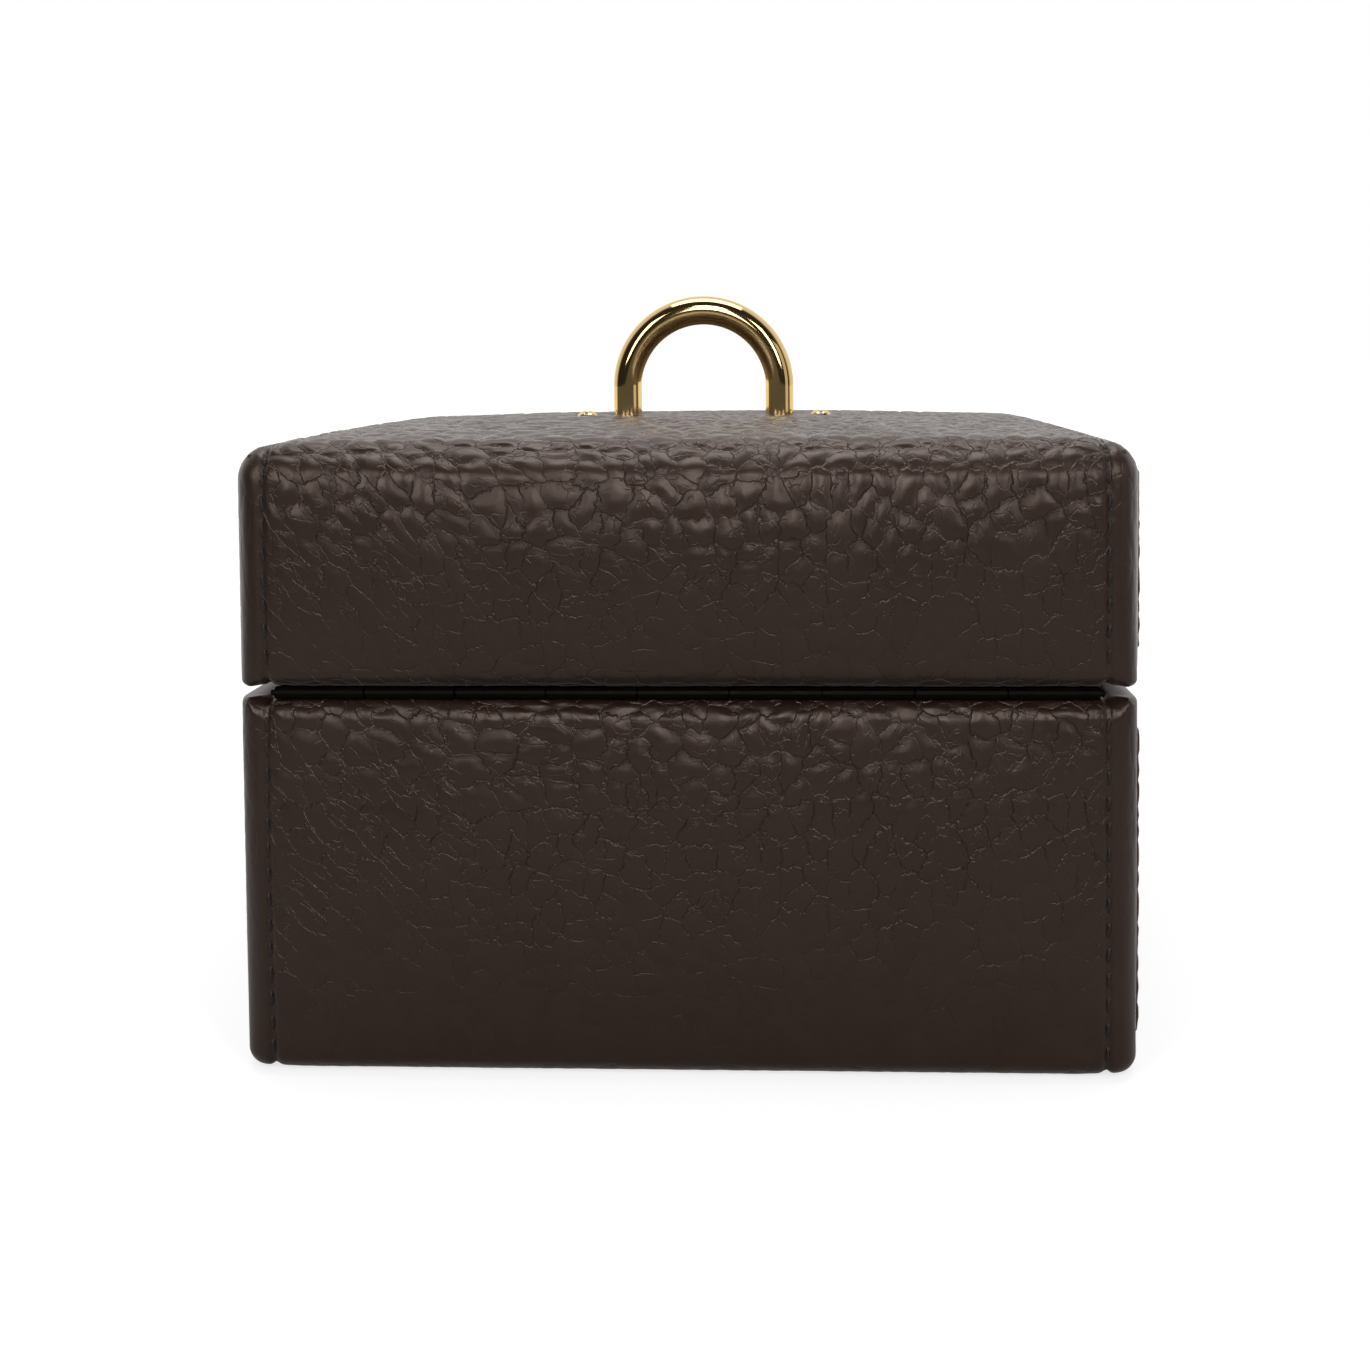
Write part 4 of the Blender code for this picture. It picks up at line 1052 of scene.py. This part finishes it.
def tube_faces(rings, sides, poles):
    """Quads of a tube, ring by ring, with fans to two last points where it has poles."""
    faces = []
    for ring in range(rings - 1):
        for i in range(sides):
            j = (i + 1) % sides
            a = ring * sides
            faces.append((a + i, a + sides + i, a + sides + j, a + j))
    if poles:
        last = (rings - 1) * sides
        first_pole = rings * sides
        for i in range(sides):
            j = (i + 1) % sides
            faces.append((first_pole, i, j))
            faces.append((first_pole + 1, last + j, last + i))
    return faces


def build_lid_foam():
    """The foam behind the lid's lining: the CAD sheet with soft edges and an uneven face."""
    cad = NODES["lid_padding"]
    mesh = cad.data.copy()
    piece = bpy.data.objects.new("lid_foam", mesh)
    bpy.context.scene.collection.objects.link(piece)
    mesh.materials.clear()
    mesh.materials.append(FOAM)
    weld = {"merge_threshold": WELD_REACH}
    soft = {"width": FOAM_EDGE, "segments": 3, "limit_method": "ANGLE"}
    settle(piece, ("WELD", weld), ("BEVEL", soft))
    mesh.set_sharp_from_angle(angle=math.radians(50))
    place_piece(piece, "lid", "foam", "lid_padding")


def build_floor():
    """A white floor that keeps the box's soft shadow."""
    bpy.ops.mesh.primitive_plane_add(size=FLOOR_SIZE, location=(0.0, 0.0, 0.0))
    floor = bpy.context.object
    floor.name = "studio_floor"
    material, tree, shader = new_material("floor")
    feed(tree, shader, Base_Color=(0.42, 0.42, 0.42, 1.0), Roughness=0.9)
    path = node(tree, "ShaderNodeLightPath")
    seen = calc(tree, "MAXIMUM", path.outputs["Is Camera Ray"], path.outputs["Is Transmission Ray"])
    glossy = calc(tree, "MULTIPLY", path.outputs["Is Glossy Ray"], behind_share(tree, "Position", 0.0, 0.3))
    place = node(tree, "ShaderNodeNewGeometry").outputs["Position"]
    distance = node(tree, "ShaderNodeVectorMath", {0: place}, operation="LENGTH").outputs["Value"]
    lift = ramp(tree, distance, FLOOR_NEAR, FLOOR_FAR, FLOOR_LIFT, 1.0)
    seen = calc(tree, "MULTIPLY", calc(tree, "MAXIMUM", seen, glossy), lift)
    feed(tree, shader, Emission_Color=(1.0, 1.0, 1.0, 1.0), Emission_Strength=seen)
    floor.data.materials.append(material)


def behind_share(tree, source, near, far):
    """0 in front of the box and 1 behind it, by a place or a direction in the world."""
    if source == "Position":
        vector = node(tree, "ShaderNodeNewGeometry").outputs["Position"]
    else:
        vector = node(tree, "ShaderNodeTexCoord").outputs["Generated"]
    parts = node(tree, "ShaderNodeSeparateXYZ", {0: vector})
    return ramp(tree, parts.outputs["Y"], near, far)


def build_world():
    """White behind the box for what is seen, and an even soft light."""
    world = bpy.data.worlds.new("studio")
    bpy.context.scene.world = world
    world.use_nodes = True
    tree = world.node_tree
    tree.nodes.clear()
    path = node(tree, "ShaderNodeLightPath")
    seen = calc(tree, "MAXIMUM", path.outputs["Is Camera Ray"], path.outputs["Is Transmission Ray"])
    behind = behind_share(tree, "Direction", -0.15, 0.3)
    glossy = calc(tree, "MULTIPLY_ADD", behind, 1.0 - FRONT_GLOSS, FRONT_GLOSS)
    glossy = calc(tree, "MULTIPLY", path.outputs["Is Glossy Ray"], glossy)
    diffuse = calc(tree, "MULTIPLY", path.outputs["Is Diffuse Ray"], WORLD_LIGHT)
    strength = calc(tree, "MAXIMUM", calc(tree, "MAXIMUM", seen, glossy), diffuse)
    background = node(tree, "ShaderNodeBackground", {"Color": (1.0, 1.0, 1.0, 1.0), "Strength": strength})
    output = node(tree, "ShaderNodeOutputWorld")
    tree.links.new(background.outputs[0], output.inputs[0])


def area_light(name, place, target, size, power):
    """A rectangular lamp that faces a target."""
    lamp = bpy.data.lights.new(name, "AREA")
    lamp.shape = "RECTANGLE"
    lamp.size, lamp.size_y = size
    lamp.energy = power
    holder = bpy.data.objects.new(name, lamp)
    holder.location = place
    holder.rotation_euler = (Vector(target) - Vector(place)).to_track_quat("-Z", "Y").to_euler()
    bpy.context.scene.collection.objects.link(holder)


def build_lights():
    """A row of tall softboxes in front and above, one over the box, and a fill from the right."""
    for i, x in enumerate((-0.33, 0.0, 0.33)):
        area_light(f"front_{i}", (x, -0.53, 0.34), (x * 0.3, -0.05, 0.08), (0.14, 0.32), 0.85)
    area_light("overhead", (0.0, 0.02, 0.65), (0.0, 0.0, 0.08), (0.5, 0.3), 1.7)
    area_light("right_fill", (0.6, -0.30, 0.25), (0.0, 0.0, 0.05), (0.3, 0.4), 0.25)


def build_camera():
    """The photograph's view, fitted to the box's outline in it."""
    lens = bpy.data.cameras.new("camera")
    lens.lens = CAMERA_LENS
    lens.sensor_width = 36.0
    lens.shift_x, lens.shift_y = CAMERA_SHIFT
    lens.clip_start = 0.01
    lens.clip_end = 20.0
    camera = bpy.data.objects.new("camera", lens)
    turn = Matrix.Rotation(CAMERA_YAW, 4, "Z") @ Matrix.Rotation(math.pi / 2 - CAMERA_PITCH, 4, "X")
    camera.matrix_world = Matrix.Translation(CAMERA_PLACE) @ turn @ Matrix.Rotation(CAMERA_ROLL, 4, "Z")
    bpy.context.scene.collection.objects.link(camera)
    bpy.context.scene.camera = camera


build_camera()
build_lid_wrap()
build_base_wrap()
build_all_stitches()
build_side_panels()
build_drawer_fronts()
build_handle()
build_screws()
build_pulls()
build_ring_rolls()
build_lid_foam()
finish_cad_nodes()
build_floor()
build_world()
build_lights()
bpy.context.scene.view_settings.view_transform = "Standard"
